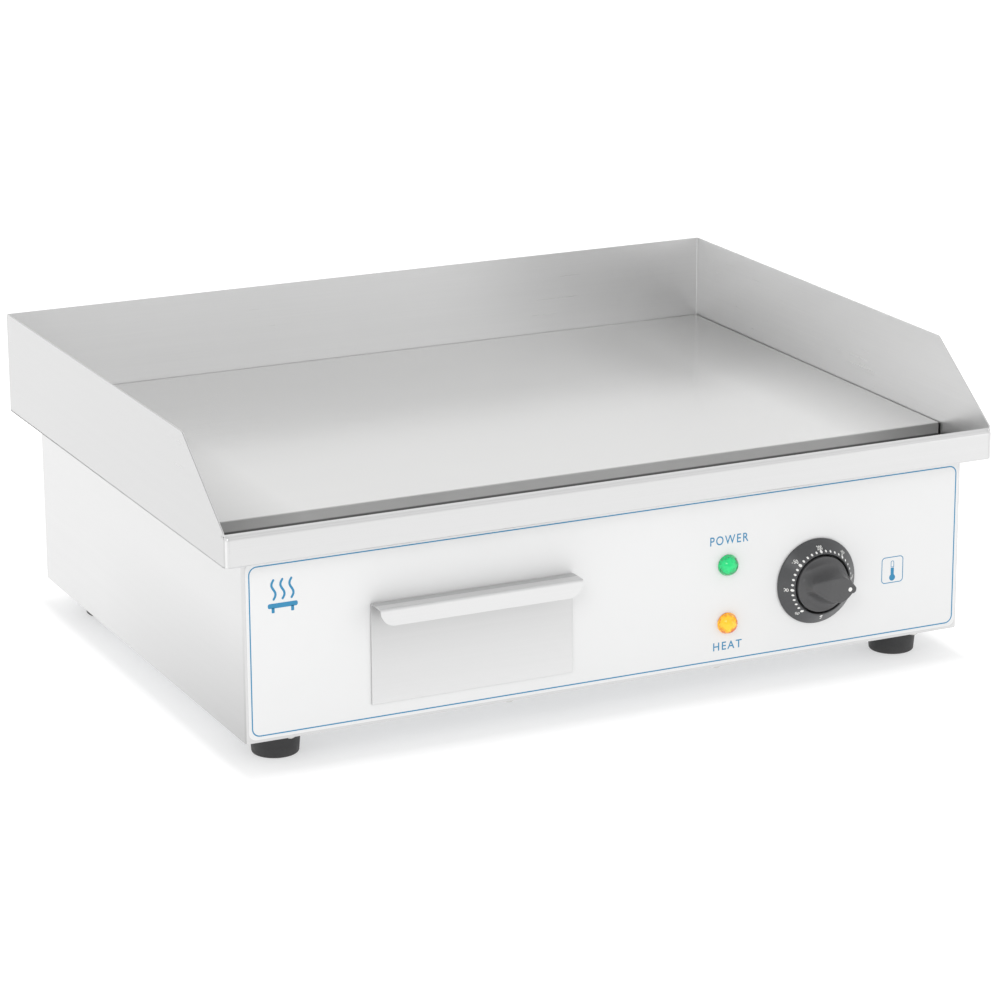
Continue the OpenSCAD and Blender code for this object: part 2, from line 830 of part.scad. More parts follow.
module lamp_lens_green() {
    color("#16c178") lamp_lens(knob_z + lamp_pitch);
}

module lamp_lens_amber() {
    color("#f5a71c") lamp_lens(knob_z - lamp_pitch);
}

module lamp_bodies() {
    color("#f3f0e6") placed() for (s = [-1, 1], z = [knob_z + s * lamp_pitch]) {
        rod_y(lamp_x, z, film_y, film_y + lamp_len, lamp_r);
        for (t = [-1, 1]) block([lamp_x + t * 2.4 - 0.4, film_y + lamp_len - eps, z - 1.4],
            [lamp_x + t * 2.4 + 0.4, film_y + lamp_len + 7, z + 1.4]);
    }
}

module lamp_clips() {
    color("#8a8f94") placed() for (s = [-1, 1]) difference() {
        rod_y(lamp_x, knob_z + s * lamp_pitch, inner_y, inner_y + 1.5, 7.5);
        rod_y(lamp_x, knob_z + s * lamp_pitch, inner_y - eps, inner_y + 1.6, lamp_r + loose);
    }
}

// ---------------------------------------------------------------- drawer

// Section of the drawer's front with its folded handle, in the YZ plane
module drawer_section() {
    y1 = drawer_front_y + sheet;
    y0 = drawer_front_y - handle_d;
    top = drawer_z + drawer_h;
    inner_r = bend_r - sheet;
    polygon(concat([[y1, drawer_z]],
        arc_points(y1 - bend_r, top - bend_r, bend_r, 0, 90, 5),
        arc_points(y0 + bend_r, top - bend_r, bend_r, 90, 180, 5),
        [[y0, top - handle_h], [y0 + sheet, top - handle_h]],
        arc_points(y0 + bend_r, top - bend_r, inner_r, 180, 90, 5),
        arc_points(y1 - bend_r, top - bend_r, inner_r, 90, 0, 5),
        [[drawer_front_y, drawer_z]]));
}

module drawer_front() {
    top = drawer_z + drawer_h;
    lip_low = top - handle_h;
    lip_y = drawer_front_y - handle_d;
    color("#d4d4d4") placed() difference() {
        translate([drawer_x, 0, 0]) rotate([90, 0, 90]) linear_extrude(drawer_w) drawer_section();
        // round lower corners of the handle's lip
        for (s = [-1, 1]) panel(lip_y - eps, lip_y + sheet + eps)
            translate([drain_x + s * (drawer_w / 2 - handle_corner), lip_low + handle_corner])
            difference() {
                translate([s > 0 ? 0 : -handle_corner - eps, -handle_corner - eps])
                    square(handle_corner + eps);
                circle(r = handle_corner, $fn = round_fn);
            }
    }
}

module drawer_box() {
    y0 = drawer_front_y + sheet;
    y1 = y0 + drawer_l;
    color("#c9c9c9") placed() difference() {
        block([box_x, y0, box_z], [box_x + box_w, y1, box_z + box_h]);
        block([box_x + sheet, y0 + sheet, box_z + sheet],
            [box_x + box_w - sheet, y1 - sheet, box_z + box_h + eps]);
    }
}

// Sleeve that carries the drawer and keeps grease off the wiring
module drawer_housing() {
    x0 = opening_x - sheet;
    x1 = opening_x + opening_w + sheet;
    y1 = inner_y + housing_l;
    foot_w = 10;
    color("#b6b8ba") placed() union() {
        for (x = [x0, x1 - sheet])
            block([x, inner_y + flange + clear, sheet], [x + sheet, y1, opening_z + opening_h]);
        for (x = [x0 - foot_w, x1 - sheet])
            block([x, inner_y + flange + clear, sheet], [x + foot_w + sheet, y1, 2 * sheet]);
        block([x0, inner_y + clear, housing_floor], [x1, y1, housing_floor + sheet]);
        block([x0, y1 - sheet, housing_floor], [x1, y1, opening_z + opening_h]);
    }
}

// ---------------------------------------------------------------- services at the back

module cable_gland() {
    hex_h = 6;
    dome_r = 11.5;
    dome_top = 12;
    nose_r = 8;
    nose_len = 19;
    thread_len = 10;
    color("#303133") placed() translate([gland_x, back_y, gland_z]) rotate([-90, 0, 0]) difference() {
        union() {
            cylinder(d = gland_hex, h = hex_h, $fn = 6);
            rotate_extrude($fn = round_fn) polygon([[0, hex_h - 1], [dome_r, hex_h - 1], [dome_r, dome_top],
                [nose_r, nose_len], [0, nose_len]]);
            translate([0, 0, -thread_len]) cylinder(r = gland_r, h = thread_len + 1, $fn = round_fn);
        }
        translate([0, 0, -thread_len - eps])
            cylinder(r = gland_bore, h = nose_len + thread_len + 1, $fn = small_fn);
    }
}

module gland_nut() {
    color("#3a3b3d") placed() translate([gland_x, back_y - sheet, gland_z]) rotate([90, 0, 0])
        hex_nut(gland_hex, 5, gland_r + loose);
}

// Earth stud; the free end beyond the nut is a little slimmer
module bonding_stud() {
    nut_end = back_y + washer_t + nut_h;
    color("#c2b280") placed() {
        rod_y(bond_x, gland_z, back_y - sheet - bond_head, nut_end, stud_r);
        rod_y(bond_x, gland_z, nut_end - eps, back_y + bond_len, bond_tip_r);
        rod_y(bond_x, gland_z, back_y - sheet - bond_head, back_y - sheet, nut_af / 2 / cos(30), 6);
    }
}

module bonding_nuts() {
    color("#cfc6a0") placed() translate([bond_x, back_y, gland_z]) rotate([-90, 0, 0]) {
        difference() {
            cylinder(r = bond_washer_r, h = washer_t, $fn = small_fn);
            translate([0, 0, -eps]) cylinder(r = stud_r + loose, h = washer_t + 2 * eps, $fn = small_fn);
        }
        translate([0, 0, washer_t]) hex_nut(nut_af, nut_h, stud_r + loose);
    }
}

// Three-pole ceramic block on the base
module terminal_block() {
    pitch = block_w / 3;
    color("#f1ede2") placed() translate([block_x, block_y, sheet]) difference() {
        translate([-block_w / 2, -block_d / 2, 0]) cube([block_w, block_d, block_h]);
        for (i = [-1, 0, 1]) {
            rod_y(i * pitch, wire_z, -block_d, block_d, wire_r);
            for (s = [-1, 1]) post(i * pitch, s * clamp_y, wire_z + 1, block_h + eps, clamp_r + 2 * loose);
        }
    }
}

module terminal_screws() {
    pitch = block_w / 3;
    color("#c8b56b") placed() translate([block_x, block_y, sheet])
        for (i = [-1, 0, 1], s = [-1, 1]) post(i * pitch, s * clamp_y, block_h - 6, block_h - 1, clamp_r);
}

// Disc cut-out under the heat shield
module thermal_cutout() {
    body_r = 8;
    body_h = 10;
    ear = [32, 10, 1];
    tab = [0.8, 6, 7.2];
    color("#2b2b2d") placed() translate([cutout_x, cutout_y, shield_floor]) {
        translate([0, 0, -body_h]) cylinder(r = body_r, h = body_h, $fn = small_fn);
        translate([-ear[0] / 2, -ear[1] / 2, -ear[2]]) cube(ear);
        for (s = [-1, 1]) translate([s * cutout_tab - tab[0] / 2, -tab[1] / 2, cutout_end]) cube(tab);
    }
}

// ---------------------------------------------------------------- leads

module live_leads() {
    pin_x = element_end + element_drop;
    y0 = front_element_y;
    tab_x = [knob_x - therm_tab, knob_x + therm_tab];
    tab_y = therm_y + therm_d + 8;
    tab_z = knob_z + 4.4;
    color("#6b4226") placed() {
        routed([[block_x - 15, block_y - 11, 10], [block_x - 15, 300, 10], [tab_x[0], 200, 8],
            [tab_x[0], tab_y + 6, 8], [tab_x[0], tab_y + 2, tab_z], [tab_x[0], tab_y, tab_z]], lead_r);
        routed([[tab_x[1], tab_y, tab_z], [tab_x[1], tab_y + 6, tab_z], [150, 150, 66],
            [cutout_x + 6, cutout_y - 20, 66], [cutout_x + 4, cutout_y, 66],
            [cutout_x + 4, cutout_y, shield_floor + cutout_end]], lead_r);
        routed([[cutout_x - 4, cutout_y, shield_floor + cutout_end], [cutout_x - 4, cutout_y, 60],
            [cutout_x + 20, cutout_y - 40, 60], [pin_x - 15, y0 + 8, 60], [pin_x, y0, 64],
            [pin_x, y0, pin_z]], lead_r);
        routed([[pin_x + 3, y0, pin_z - 1.5], [pin_x + 8, y0 + 14, pin_z - 4],
            [pin_x + 8, rear_element_y - 14, pin_z - 4], [pin_x, rear_element_y, pin_z - 3],
            [pin_x, rear_element_y, pin_z]], lead_r);
    }
}

module neutral_leads() {
    pin_x = element_end + element_drop;
    y3 = front_element_y + 3 * element_pitch;
    y7 = rear_element_y + 3 * element_pitch;
    color("#2f63a8") placed() {
        routed([[block_x, block_y - 11, 10], [block_x, 315, 10], [200, 300, 14], [pin_x - 12, 290, 40],
            [pin_x - 12, y3 + 12, 56], [pin_x, y3, 60], [pin_x, y3, pin_z]], lead_r);
        routed([[pin_x, y7, pin_z], [pin_x, y7, 58], [pin_x - 8, y7 - 30, 50],
            [pin_x - 12, 290, 40]], lead_r);
        for (s = [-1, 1], z = [knob_z + s * lamp_pitch])
            routed([[lamp_x + 2.4, film_y + lamp_len + 7, z], [lamp_x + 2.4, film_y + lamp_len + 16, z],
                [100, 120, 20], [176, 240, 20], [200, 300, 14]], lead_r);
    }
}

module earth_leads() {
    color("#7fae3a") placed() routed([[block_x + 15, block_y + 11, 10], [block_x + 15, block_y + 20, 10],
        [150, 372, 22], [bond_x, 376, 28], [bond_x, back_y - sheet - bond_head - 2 * lead_r, gland_z - 6],
        [bond_x, back_y - sheet - bond_head - lead_r - loose, gland_z]], lead_r);
}

griddle_plate();
plate_studs();
grease_tray();
splash_back();
splash_left();
splash_right();
drain_spout();
cabinet_shell();
rear_panel();
base_plate();
panel_film();
heating_element_front();
heating_element_rear();
element_insulators();
element_pins();
clamp_bars();
clamp_nuts();
insulation_blanket();
heat_shield();
thermostat_body();
thermostat_shaft();
thermostat_screws();
capillary_tube();
sensor_bulb();
bulb_clips();
dial_bezel();
knob();
lamp_lens_green();
lamp_lens_amber();
lamp_bodies();
lamp_clips();
drawer_front();
drawer_box();
drawer_housing();
foot_front_left();
foot_front_right();
foot_rear_left();
foot_rear_right();
foot_screws();
foot_nuts();
base_screws();
rear_screws();
cable_gland();
gland_nut();
terminal_block();
terminal_screws();
thermal_cutout();
bonding_stud();
bonding_nuts();
live_leads();
neutral_leads();
earth_leads();
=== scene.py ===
import json
import math
from functools import cached_property

import bmesh
import bpy
from mathutils import Matrix, Vector


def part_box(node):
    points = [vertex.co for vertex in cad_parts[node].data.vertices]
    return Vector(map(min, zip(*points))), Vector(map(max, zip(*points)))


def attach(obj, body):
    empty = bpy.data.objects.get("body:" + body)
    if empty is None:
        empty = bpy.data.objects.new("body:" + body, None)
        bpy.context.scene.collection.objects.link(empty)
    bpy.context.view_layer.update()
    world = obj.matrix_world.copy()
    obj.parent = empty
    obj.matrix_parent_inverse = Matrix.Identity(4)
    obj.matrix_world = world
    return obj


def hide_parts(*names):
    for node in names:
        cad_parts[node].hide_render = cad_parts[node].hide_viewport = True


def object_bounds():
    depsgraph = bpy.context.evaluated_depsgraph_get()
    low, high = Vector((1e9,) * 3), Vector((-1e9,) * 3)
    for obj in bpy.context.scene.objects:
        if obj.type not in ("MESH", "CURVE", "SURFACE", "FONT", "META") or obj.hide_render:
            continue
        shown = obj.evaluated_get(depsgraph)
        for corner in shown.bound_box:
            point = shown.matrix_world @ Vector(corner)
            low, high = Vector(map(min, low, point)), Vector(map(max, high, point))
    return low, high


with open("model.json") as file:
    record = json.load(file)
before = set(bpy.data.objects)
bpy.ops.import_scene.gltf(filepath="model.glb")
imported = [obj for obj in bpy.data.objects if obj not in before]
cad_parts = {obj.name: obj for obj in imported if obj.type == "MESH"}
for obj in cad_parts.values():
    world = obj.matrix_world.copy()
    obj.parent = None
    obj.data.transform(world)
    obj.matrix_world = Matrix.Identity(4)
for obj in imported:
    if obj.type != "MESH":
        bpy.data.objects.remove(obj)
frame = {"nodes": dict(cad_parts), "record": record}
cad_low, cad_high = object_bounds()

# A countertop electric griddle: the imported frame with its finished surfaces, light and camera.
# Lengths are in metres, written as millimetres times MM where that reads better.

MM = 0.001
X = Vector((1, 0, 0))
Y = Vector((0, 1, 0))
Z = Vector((0, 0, 1))
QUARTER = math.pi / 2

# Leaves a shape drawn in XY level, or turns it upright to face the front, the right or the rear
LEVEL = Matrix.Identity(4)
FACE_FRONT = Matrix.Rotation(QUARTER, 4, "X")
FACE_REAR = Matrix.Rotation(math.pi, 4, "Z") @ FACE_FRONT
FACE_RIGHT = Matrix.Rotation(QUARTER, 4, "Z") @ FACE_FRONT


def low(node):
    """Lowest corner of a CAD node."""
    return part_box(node)[0]


def high(node):
    """Highest corner of a CAD node."""
    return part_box(node)[1]


def middle(node):
    return (low(node) + high(node)) / 2


# Sizes that the frame's boxes give
SHEET = high("splash_left").x - low("splash_left").x
PANEL_Y = low("cabinet_shell").y
FILM_Y = low("panel_film").y
DECK_Z = low("grease_tray").z
CABINET_Z = low("cabinet_shell").z
SKIRT_TOP = high("grease_tray").z
DIAL = Vector((middle("dial_bezel").x, FILM_Y, middle("dial_bezel").z))
BEZEL_R = (high("dial_bezel").x - low("dial_bezel").x) / 2
BEZEL_OUT = FILM_Y - low("dial_bezel").y
KNOB_OUT = FILM_Y - low("knob").y
FOOT_R = (high("foot_front_left").x - low("foot_front_left").x) / 2
FEET = ["foot_front_left", "foot_front_right", "foot_rear_left", "foot_rear_right"]

# Sizes that the boxes don't give, as in the part's source
SKIRT_R = 3 * MM
SLANT_D = 69 * MM
CABINET_R = 2.5 * MM
FOLD_R = 2 * MM
DRAWER_GAP = 1 * MM
HANDLE_H = 11.6 * MM
HANDLE_CORNER = 10 * MM
BEZEL_TOP_R = 21.5 * MM
BEZEL_BORE = 20.5 * MM
BEZEL_FLOOR = 1.6 * MM
CAP_R = 19.1 * MM
CAP_TOP = 10.4 * MM
HUB_R = 6.5 * MM
GRIP_TAIL = -10.5 * MM
GRIP_WIDEST = 9 * MM
GRIP_TIP = 16.8 * MM
POINTER_DROP = math.radians(9)


# ---- materials

# By the names they are given here: Blender adds a number to a name that the frame already uses
MATERIALS = {}


class Finish:
    """One material's node tree, with short ways to add and join its nodes."""

    def __init__(self, name):
        material = bpy.data.materials.new(name)
        material.use_nodes = True
        MATERIALS[name] = material
        self.tree = material.node_tree
        self.tree.nodes.clear()
        self.shader = self.add("BsdfPrincipled")
        self.add("OutputMaterial", Surface=self.shader.outputs["BSDF"])
        self.coordinates = self.add("TexCoord").outputs
        self.place = self.coordinates["Object"]

    @cached_property
    def at(self):
        """The place's X, Y and Z."""
        return self.add("SeparateXYZ", Vector=self.place).outputs

    @cached_property
    def normal(self):
        """The surface normal's X, Y and Z."""
        return self.add("SeparateXYZ", Vector=self.coordinates["Normal"]).outputs

    def plug(self, socket, value):
        """Joins a socket to another node's output, or sets its plain value."""
        if isinstance(value, bpy.types.NodeSocket):
            self.tree.links.new(value, socket)
        else:
            socket.default_value = value

    def add(self, kind, settings=None, **inputs):
        node = self.tree.nodes.new("ShaderNode" + kind)
        for key, value in (settings or {}).items():
            setattr(node, key, value)
        for key, value in inputs.items():
            self.plug(node.inputs[key.replace("_", " ")], value)
        return node

    def set(self, **inputs):
        """Sets inputs of the main shader."""
        for key, value in inputs.items():
            self.plug(self.shader.inputs[key.replace("_", " ")], value)

    def math(self, operation, first, second=0.0):
        node = self.add("Math", {"operation": operation})
        self.plug(node.inputs[0], first)
        self.plug(node.inputs[1], second)
        return node.outputs[0]

    def total(self, *values):
        result = values[0]
        for value in values[1:]:
            result = self.math("ADD", result, value)
        return result

    def mix(self, factor, first, second):
        """Colour between two colours."""
        node = self.add("Mix", {"data_type": "RGBA"})
        self.plug(node.inputs[0], factor)
        self.plug(node.inputs[6], first)
        self.plug(node.inputs[7], second)
        return node.outputs[2]

    def vector_mix(self, factor, first, second):
        """One of two vectors, or what lies between them."""
        node = self.add("Mix", {"data_type": "VECTOR"})
        self.plug(node.inputs[0], factor)
        self.plug(node.inputs[4], first)
        self.plug(node.inputs[5], second)
        return node.outputs[1]

    def noise(self, scale, detail=2.0, stretch=(1, 1, 1), place=None):
        """Noise from 0 to 1, in features per metre."""
        vector = self.add("Mapping", Vector=place or self.place, Scale=stretch).outputs[0]
        return self.add("TexNoise", Vector=vector, Scale=scale, Detail=detail).outputs["Fac"]

    def span(self, value, start, end, first=0.3, last=0.7):
        """Maps a value that runs from first to last to one that runs from start to end."""
        node = self.add("MapRange", Value=value, From_Min=first, From_Max=last, To_Min=start, To_Max=end)
        return node.outputs["Result"]

    def scaled(self, colour, factor):
        """Colour times a number."""
        node = self.add("VectorMath", {"operation": "SCALE"}, Scale=factor)
        self.plug(node.inputs[0], colour[:3] if isinstance(colour, tuple) else colour)
        return node.outputs[0]

    def bump(self, height, depth, strength=1.0):
        node = self.add("Bump", Height=height, Distance=depth, Strength=strength)
        self.set(Normal=node.outputs["Normal"])


def rgb(red, green, blue):
    return (red, green, blue, 1.0)


# How squarely a face must face a direction to count as facing it
FACING = 0.7


def plate_tone(finish):
    """Plate: painted shade darkens it beside the walls; its sawn front edge is grey, with a painted shadow
    line at its foot.
    """
    half, top = high("griddle_plate").x, high("griddle_plate").z
    front = finish.math("LESS_THAN", finish.normal["Y"], -FACING)
    # painted shade: the plate darkens within 75 mm of the side walls
    sides = finish.span(finish.math("ABSOLUTE", finish.at["X"]), 1.0, 0.6, half - 75 * MM, half)
    # painted shadow: a dark line at the foot of the front edge, where the gap over the skirt's lip lies in
    # shade
    shadow_line_top = top - 6.9 * MM
    foot = finish.span(finish.at["Z"], 0.25, 0.84, shadow_line_top - 0.7 * MM, shadow_line_top)
    return finish.math("MULTIPLY", sides, finish.vector_mix(front, (1, 1, 1), foot))


def cabinet_tone(finish):
    """Cabinet: painted shade darkens its sides towards their lower front corner, standing in for the shadowed
    floor they reflect.
    """
    side = finish.math("GREATER_THAN", finish.math("ABSOLUTE", finish.normal["X"]), FACING)
    forward = finish.span(finish.at["Y"], 1.0, 0.0, PANEL_Y, PANEL_Y + 260 * MM)
    down = finish.span(finish.at["Z"], 1.0, 0.0, CABINET_Z, CABINET_Z + 80 * MM)
    shade_amount = finish.math("MULTIPLY", finish.math("MULTIPLY", forward, down), side)
    return finish.span(shade_amount, 1.0, 0.7, 0.0, 1.0)


def tray_tone(finish):
    """Tray: painted shade makes the outer faces of its walls and skirt darker than the inner ones, though
    both are the same steel.
    """
    side = high("splash_right").x - 0.5 * SHEET
    front = low("grease_tray").y + 0.5 * SHEET
    rear = high("splash_back").y - 0.5 * SHEET
    sides = finish.span(finish.math("ABSOLUTE", finish.at["X"]), 1.0, 0.73, side, side + 0.1 * SHEET)
    ahead = finish.span(finish.at["Y"], 0.86, 1.0, front - 0.1 * SHEET, front)
    behind = finish.span(finish.at["Y"], 1.0, 0.7, rear, rear + 0.1 * SHEET)
    return finish.math("MINIMUM", finish.math("MINIMUM", sides, ahead), behind)


def drawer_tone(finish):
    """Drawer: painted shade from the handle darkens its front towards the top, so that it brightens towards
    the lower edge; the handle is as bright.
    """
    handle = finish.math("LESS_THAN", finish.at["Y"], middle("drawer_front").y)
    handle_shade = finish.span(finish.at["Z"], 1.0, 0.79, low("drawer_front").z, high("drawer_front").z)
    return finish.math("MAXIMUM", handle_shade, handle)


def brushed(name, colour, rough, lines=0.01, cloud=0.006, grain=0.75, shade_painter=None, sawn=0.0):
    """Satin sheet metal, with brush lines that run level along each face and blur it across them."""
    finish = Finish(name)
    side = finish.math("GREATER_THAN", finish.math("ABSOLUTE", finish.normal["X"]), FACING)
    level = finish.math("GREATER_THAN", finish.math("ABSOLUTE", finish.normal["Z"]), FACING)
    front = finish.math("LESS_THAN", finish.normal["Y"], -FACING)
    along, across = 9.0, 1300.0
    first = finish.add("Mapping", Vector=finish.place, Scale=(along, across, across)).outputs[0]
    second = finish.add("Mapping", Vector=finish.place, Scale=(across, along, across)).outputs[0]
    streaks = finish.vector_mix(side, first, second)
    fine = finish.noise(1.0, 3.0, place=streaks)
    broad = finish.noise(0.16, 2.0, place=streaks)
    clouds = finish.noise(9.0, 3.0)
    tone = finish.total(
        finish.span(fine, 1 - lines, 1 + lines),
        finish.span(broad, -0.6 * lines, 0.6 * lines),
        finish.span(clouds, -cloud, cloud),
    )
    # Where a painted-shade function is given, it scales the base colour with painted shade.
    if shade_painter:
        tone = finish.math("MULTIPLY", tone, shade_painter(finish))
    roughness = finish.total(
        finish.span(fine, rough - 0.02, rough + 0.02),
        finish.span(clouds, -0.01, 0.01),
        finish.math("MULTIPLY", front, sawn),
    )
    tangent = finish.vector_mix(level, (0.0, 0.0, 1.0), (0.0, 1.0, 0.0))
    finish.set(Base_Color=finish.scaled(rgb(*colour), tone), Metallic=1.0, Roughness=roughness)
    finish.set(Anisotropic=grain, Tangent=tangent)
    finish.bump(finish.total(fine, broad), 0.0008 * MM, 0.5)


def galvanised(name, colour):
    """Zinc-coated sheet with its faint crystal flakes."""
    finish = Finish(name)
    flakes = finish.add("TexVoronoi", Vector=finish.place, Scale=90.0)
    value = finish.add("SeparateColor", Color=flakes.outputs["Color"]).outputs["Red"]
    clouds = finish.noise(14.0, 3.0)
    tone = finish.total(finish.span(value, 0.9, 1.08, 0.0, 1.0), finish.span(clouds, -0.05, 0.05))
    finish.set(Base_Color=finish.scaled(rgb(*colour), tone), Metallic=1.0)
    finish.set(Roughness=finish.span(value, 0.3, 0.48, 0.0, 1.0))
    finish.bump(clouds, 0.02 * MM)


def plain_metal(name, colour, rough, stain=None, stained=0.5):
    """Turned or drawn metal with fine grain and, where given, patches of another colour."""
    finish = Finish(name)
    grain = finish.noise(1600.0, 2.0)
    clouds = finish.noise(60.0, 4.0)
    base = finish.scaled(rgb(*colour), finish.span(grain, 0.93, 1.07))
    if stain:
        base = finish.mix(finish.span(clouds, 0.0, stained), base, rgb(*stain))
    finish.set(Base_Color=base, Metallic=1.0)
    finish.set(Roughness=finish.span(clouds, rough - 0.06, rough + 0.08))
    finish.bump(grain, 0.006 * MM)


def moulded(name, colour, rough, grain=0.012, speck=0.1, coat=0.0, scale=2200.0):
    """Moulded plastic, rubber or ceramic with a fine grain and slight patches."""
    finish = Finish(name)
    fine = finish.noise(scale, 3.0)
    clouds = finish.noise(45.0, 3.0)
    tone = finish.total(finish.span(fine, 1 - speck, 1 + speck), finish.span(clouds, -speck / 2, speck / 2))
    finish.set(Base_Color=finish.scaled(rgb(*colour), tone), Coat_Weight=coat, Coat_Roughness=0.25)
    finish.set(Roughness=finish.span(clouds, rough - 0.05, rough + 0.05))
    finish.bump(fine, grain * MM)


def foot_rubber(name):
    """Matt rubber, dusty near the floor."""
    finish = Finish(name)
    fine = finish.noise(1500.0, 4.0)
    clouds = finish.noise(120.0, 3.0)
    near_floor = finish.span(finish.at["Z"], 0.35, 0.0, 0.0, 7 * MM)
    dust = finish.math("MULTIPLY", near_floor, finish.span(clouds, 0.3, 1.0))
    base = finish.scaled(rgb(0.03, 0.03, 0.031), finish.span(fine, 0.85, 1.15))
    finish.set(Base_Color=finish.mix(dust, base, rgb(0.09, 0.088, 0.085)))
    finish.set(Roughness=finish.span(clouds, 0.5, 0.64))
    finish.bump(fine, 0.02 * MM)


def film(name):
    """Satin printed film: pale, with the slightest orange peel."""
    finish = Finish(name)
    peel = finish.noise(700.0, 2.0)
    clouds = finish.noise(12.0, 2.0)
    finish.set(Base_Color=finish.scaled(rgb(0.77, 0.772, 0.772), finish.span(clouds, 0.992, 1.008)))
    finish.set(Roughness=finish.span(peel, 0.3, 0.36), Specular_IOR_Level=0.4)
    finish.bump(peel, 0.003 * MM)


def ink(name, colour):
    """Screen-printed ink, a little uneven."""
    finish = Finish(name)
    fine = finish.noise(1800.0, 3.0)
    finish.set(Base_Color=finish.scaled(rgb(*colour), finish.span(fine, 0.93, 1.07)))
    finish.set(Roughness=finish.span(fine, 0.38, 0.46))
    finish.bump(fine, 0.004 * MM)


def lens(name, deep, bright, glow):
    """Lit jewel lens: a clear dome, bright in the middle, with darker facets towards its rim."""
    finish = Finish(name)
    facing = finish.add("LayerWeight", Blend=0.55).outputs["Facing"]
    cells = finish.add("TexVoronoi", Vector=finish.place, Scale=620.0)
    facet = finish.add("SeparateColor", Color=cells.outputs["Color"]).outputs["Red"]
    rim = finish.span(facing, 0.0, 0.9, 0.1, 0.9)
    cut = finish.math("MULTIPLY", finish.span(facet, -0.6, 0.6, 0.0, 1.0), finish.total(rim, 0.2))
    shade = finish.add("Clamp", Value=finish.total(rim, cut)).outputs[0]
    base = finish.mix(shade, rgb(*bright), rgb(*deep))
    finish.set(Base_Color=base, Roughness=0.15, Coat_Weight=0.8, Coat_Roughness=0.04)
    finish.set(Emission_Color=base, Emission_Strength=glow, Specular_IOR_Level=0.3)
    finish.bump(cells.outputs["Distance"], 0.1 * MM, 0.4)


def blanket(name):
    """Ceramic fibre: long soft fibres in all directions."""
    finish = Finish(name)
    first = finish.noise(260.0, 5.0, (1, 0.08, 1))
    second = finish.noise(260.0, 5.0, (0.08, 1, 1))
    fibres = finish.math("MAXIMUM", first, second)
    finish.set(Base_Color=finish.scaled(rgb(0.78, 0.76, 0.7), finish.span(fibres, 0.8, 1.1, 0.35, 0.75)))
    finish.set(Roughness=0.95)
    finish.bump(fibres, 0.6 * MM)


def striped_lead(name, colour, stripe):
    """Silicone lead, with a second colour in broken stripes."""
    finish = Finish(name)
    bands = finish.noise(120.0, 0.0)
    fine = finish.noise(1500.0, 2.0)
    base = finish.mix(finish.math("GREATER_THAN", bands, 0.52), rgb(*colour), rgb(*stripe))
    finish.set(Base_Color=finish.scaled(base, finish.span(fine, 0.92, 1.08)), Roughness=0.5)
    finish.bump(fine, 0.01 * MM)


def floor_paint(name):
    """Plain pale studio floor that glows, so that shadows stay light; the glow is weaker near the cabinet, a
    painted shadow round it.
    """
    finish = Finish(name)
    clouds = finish.noise(3.0, 2.0)
    sides = finish.add("VectorMath", {"operation": "ABSOLUTE"}, Vector=finish.place).outputs[0]
    beyond = finish.add("VectorMath", {"operation": "SUBTRACT"}, Vector=sides)
    beyond.inputs[1].default_value = high("cabinet_shell")
    clear = finish.add("VectorMath", {"operation": "MAXIMUM"}, Vector=beyond.outputs[0])
    steep = finish.add("VectorMath", {"operation": "MULTIPLY"}, Vector=clear.outputs[0])
    steep.inputs[1].default_value = (3, 1, 1)
    away = finish.add("VectorMath", {"operation": "LENGTH"}, Vector=steep.outputs[0]).outputs["Value"]
    finish.set(Base_Color=finish.scaled(rgb(0.53, 0.53, 0.53), finish.span(clouds, 0.995, 1.005)))
    finish.set(Roughness=0.75, Specular_IOR_Level=0.1)
    # painted shadow: the glow fades towards the cabinet over 45 mm, over 15 mm at its left and right
    finish.set(Emission_Color=rgb(1, 1, 1), Emission_Strength=finish.span(away, 0.5, 0.78, 0.0, 0.045))


BLUE = (0.02, 0.23, 0.43)
PALE = (0.82, 0.82, 0.8)


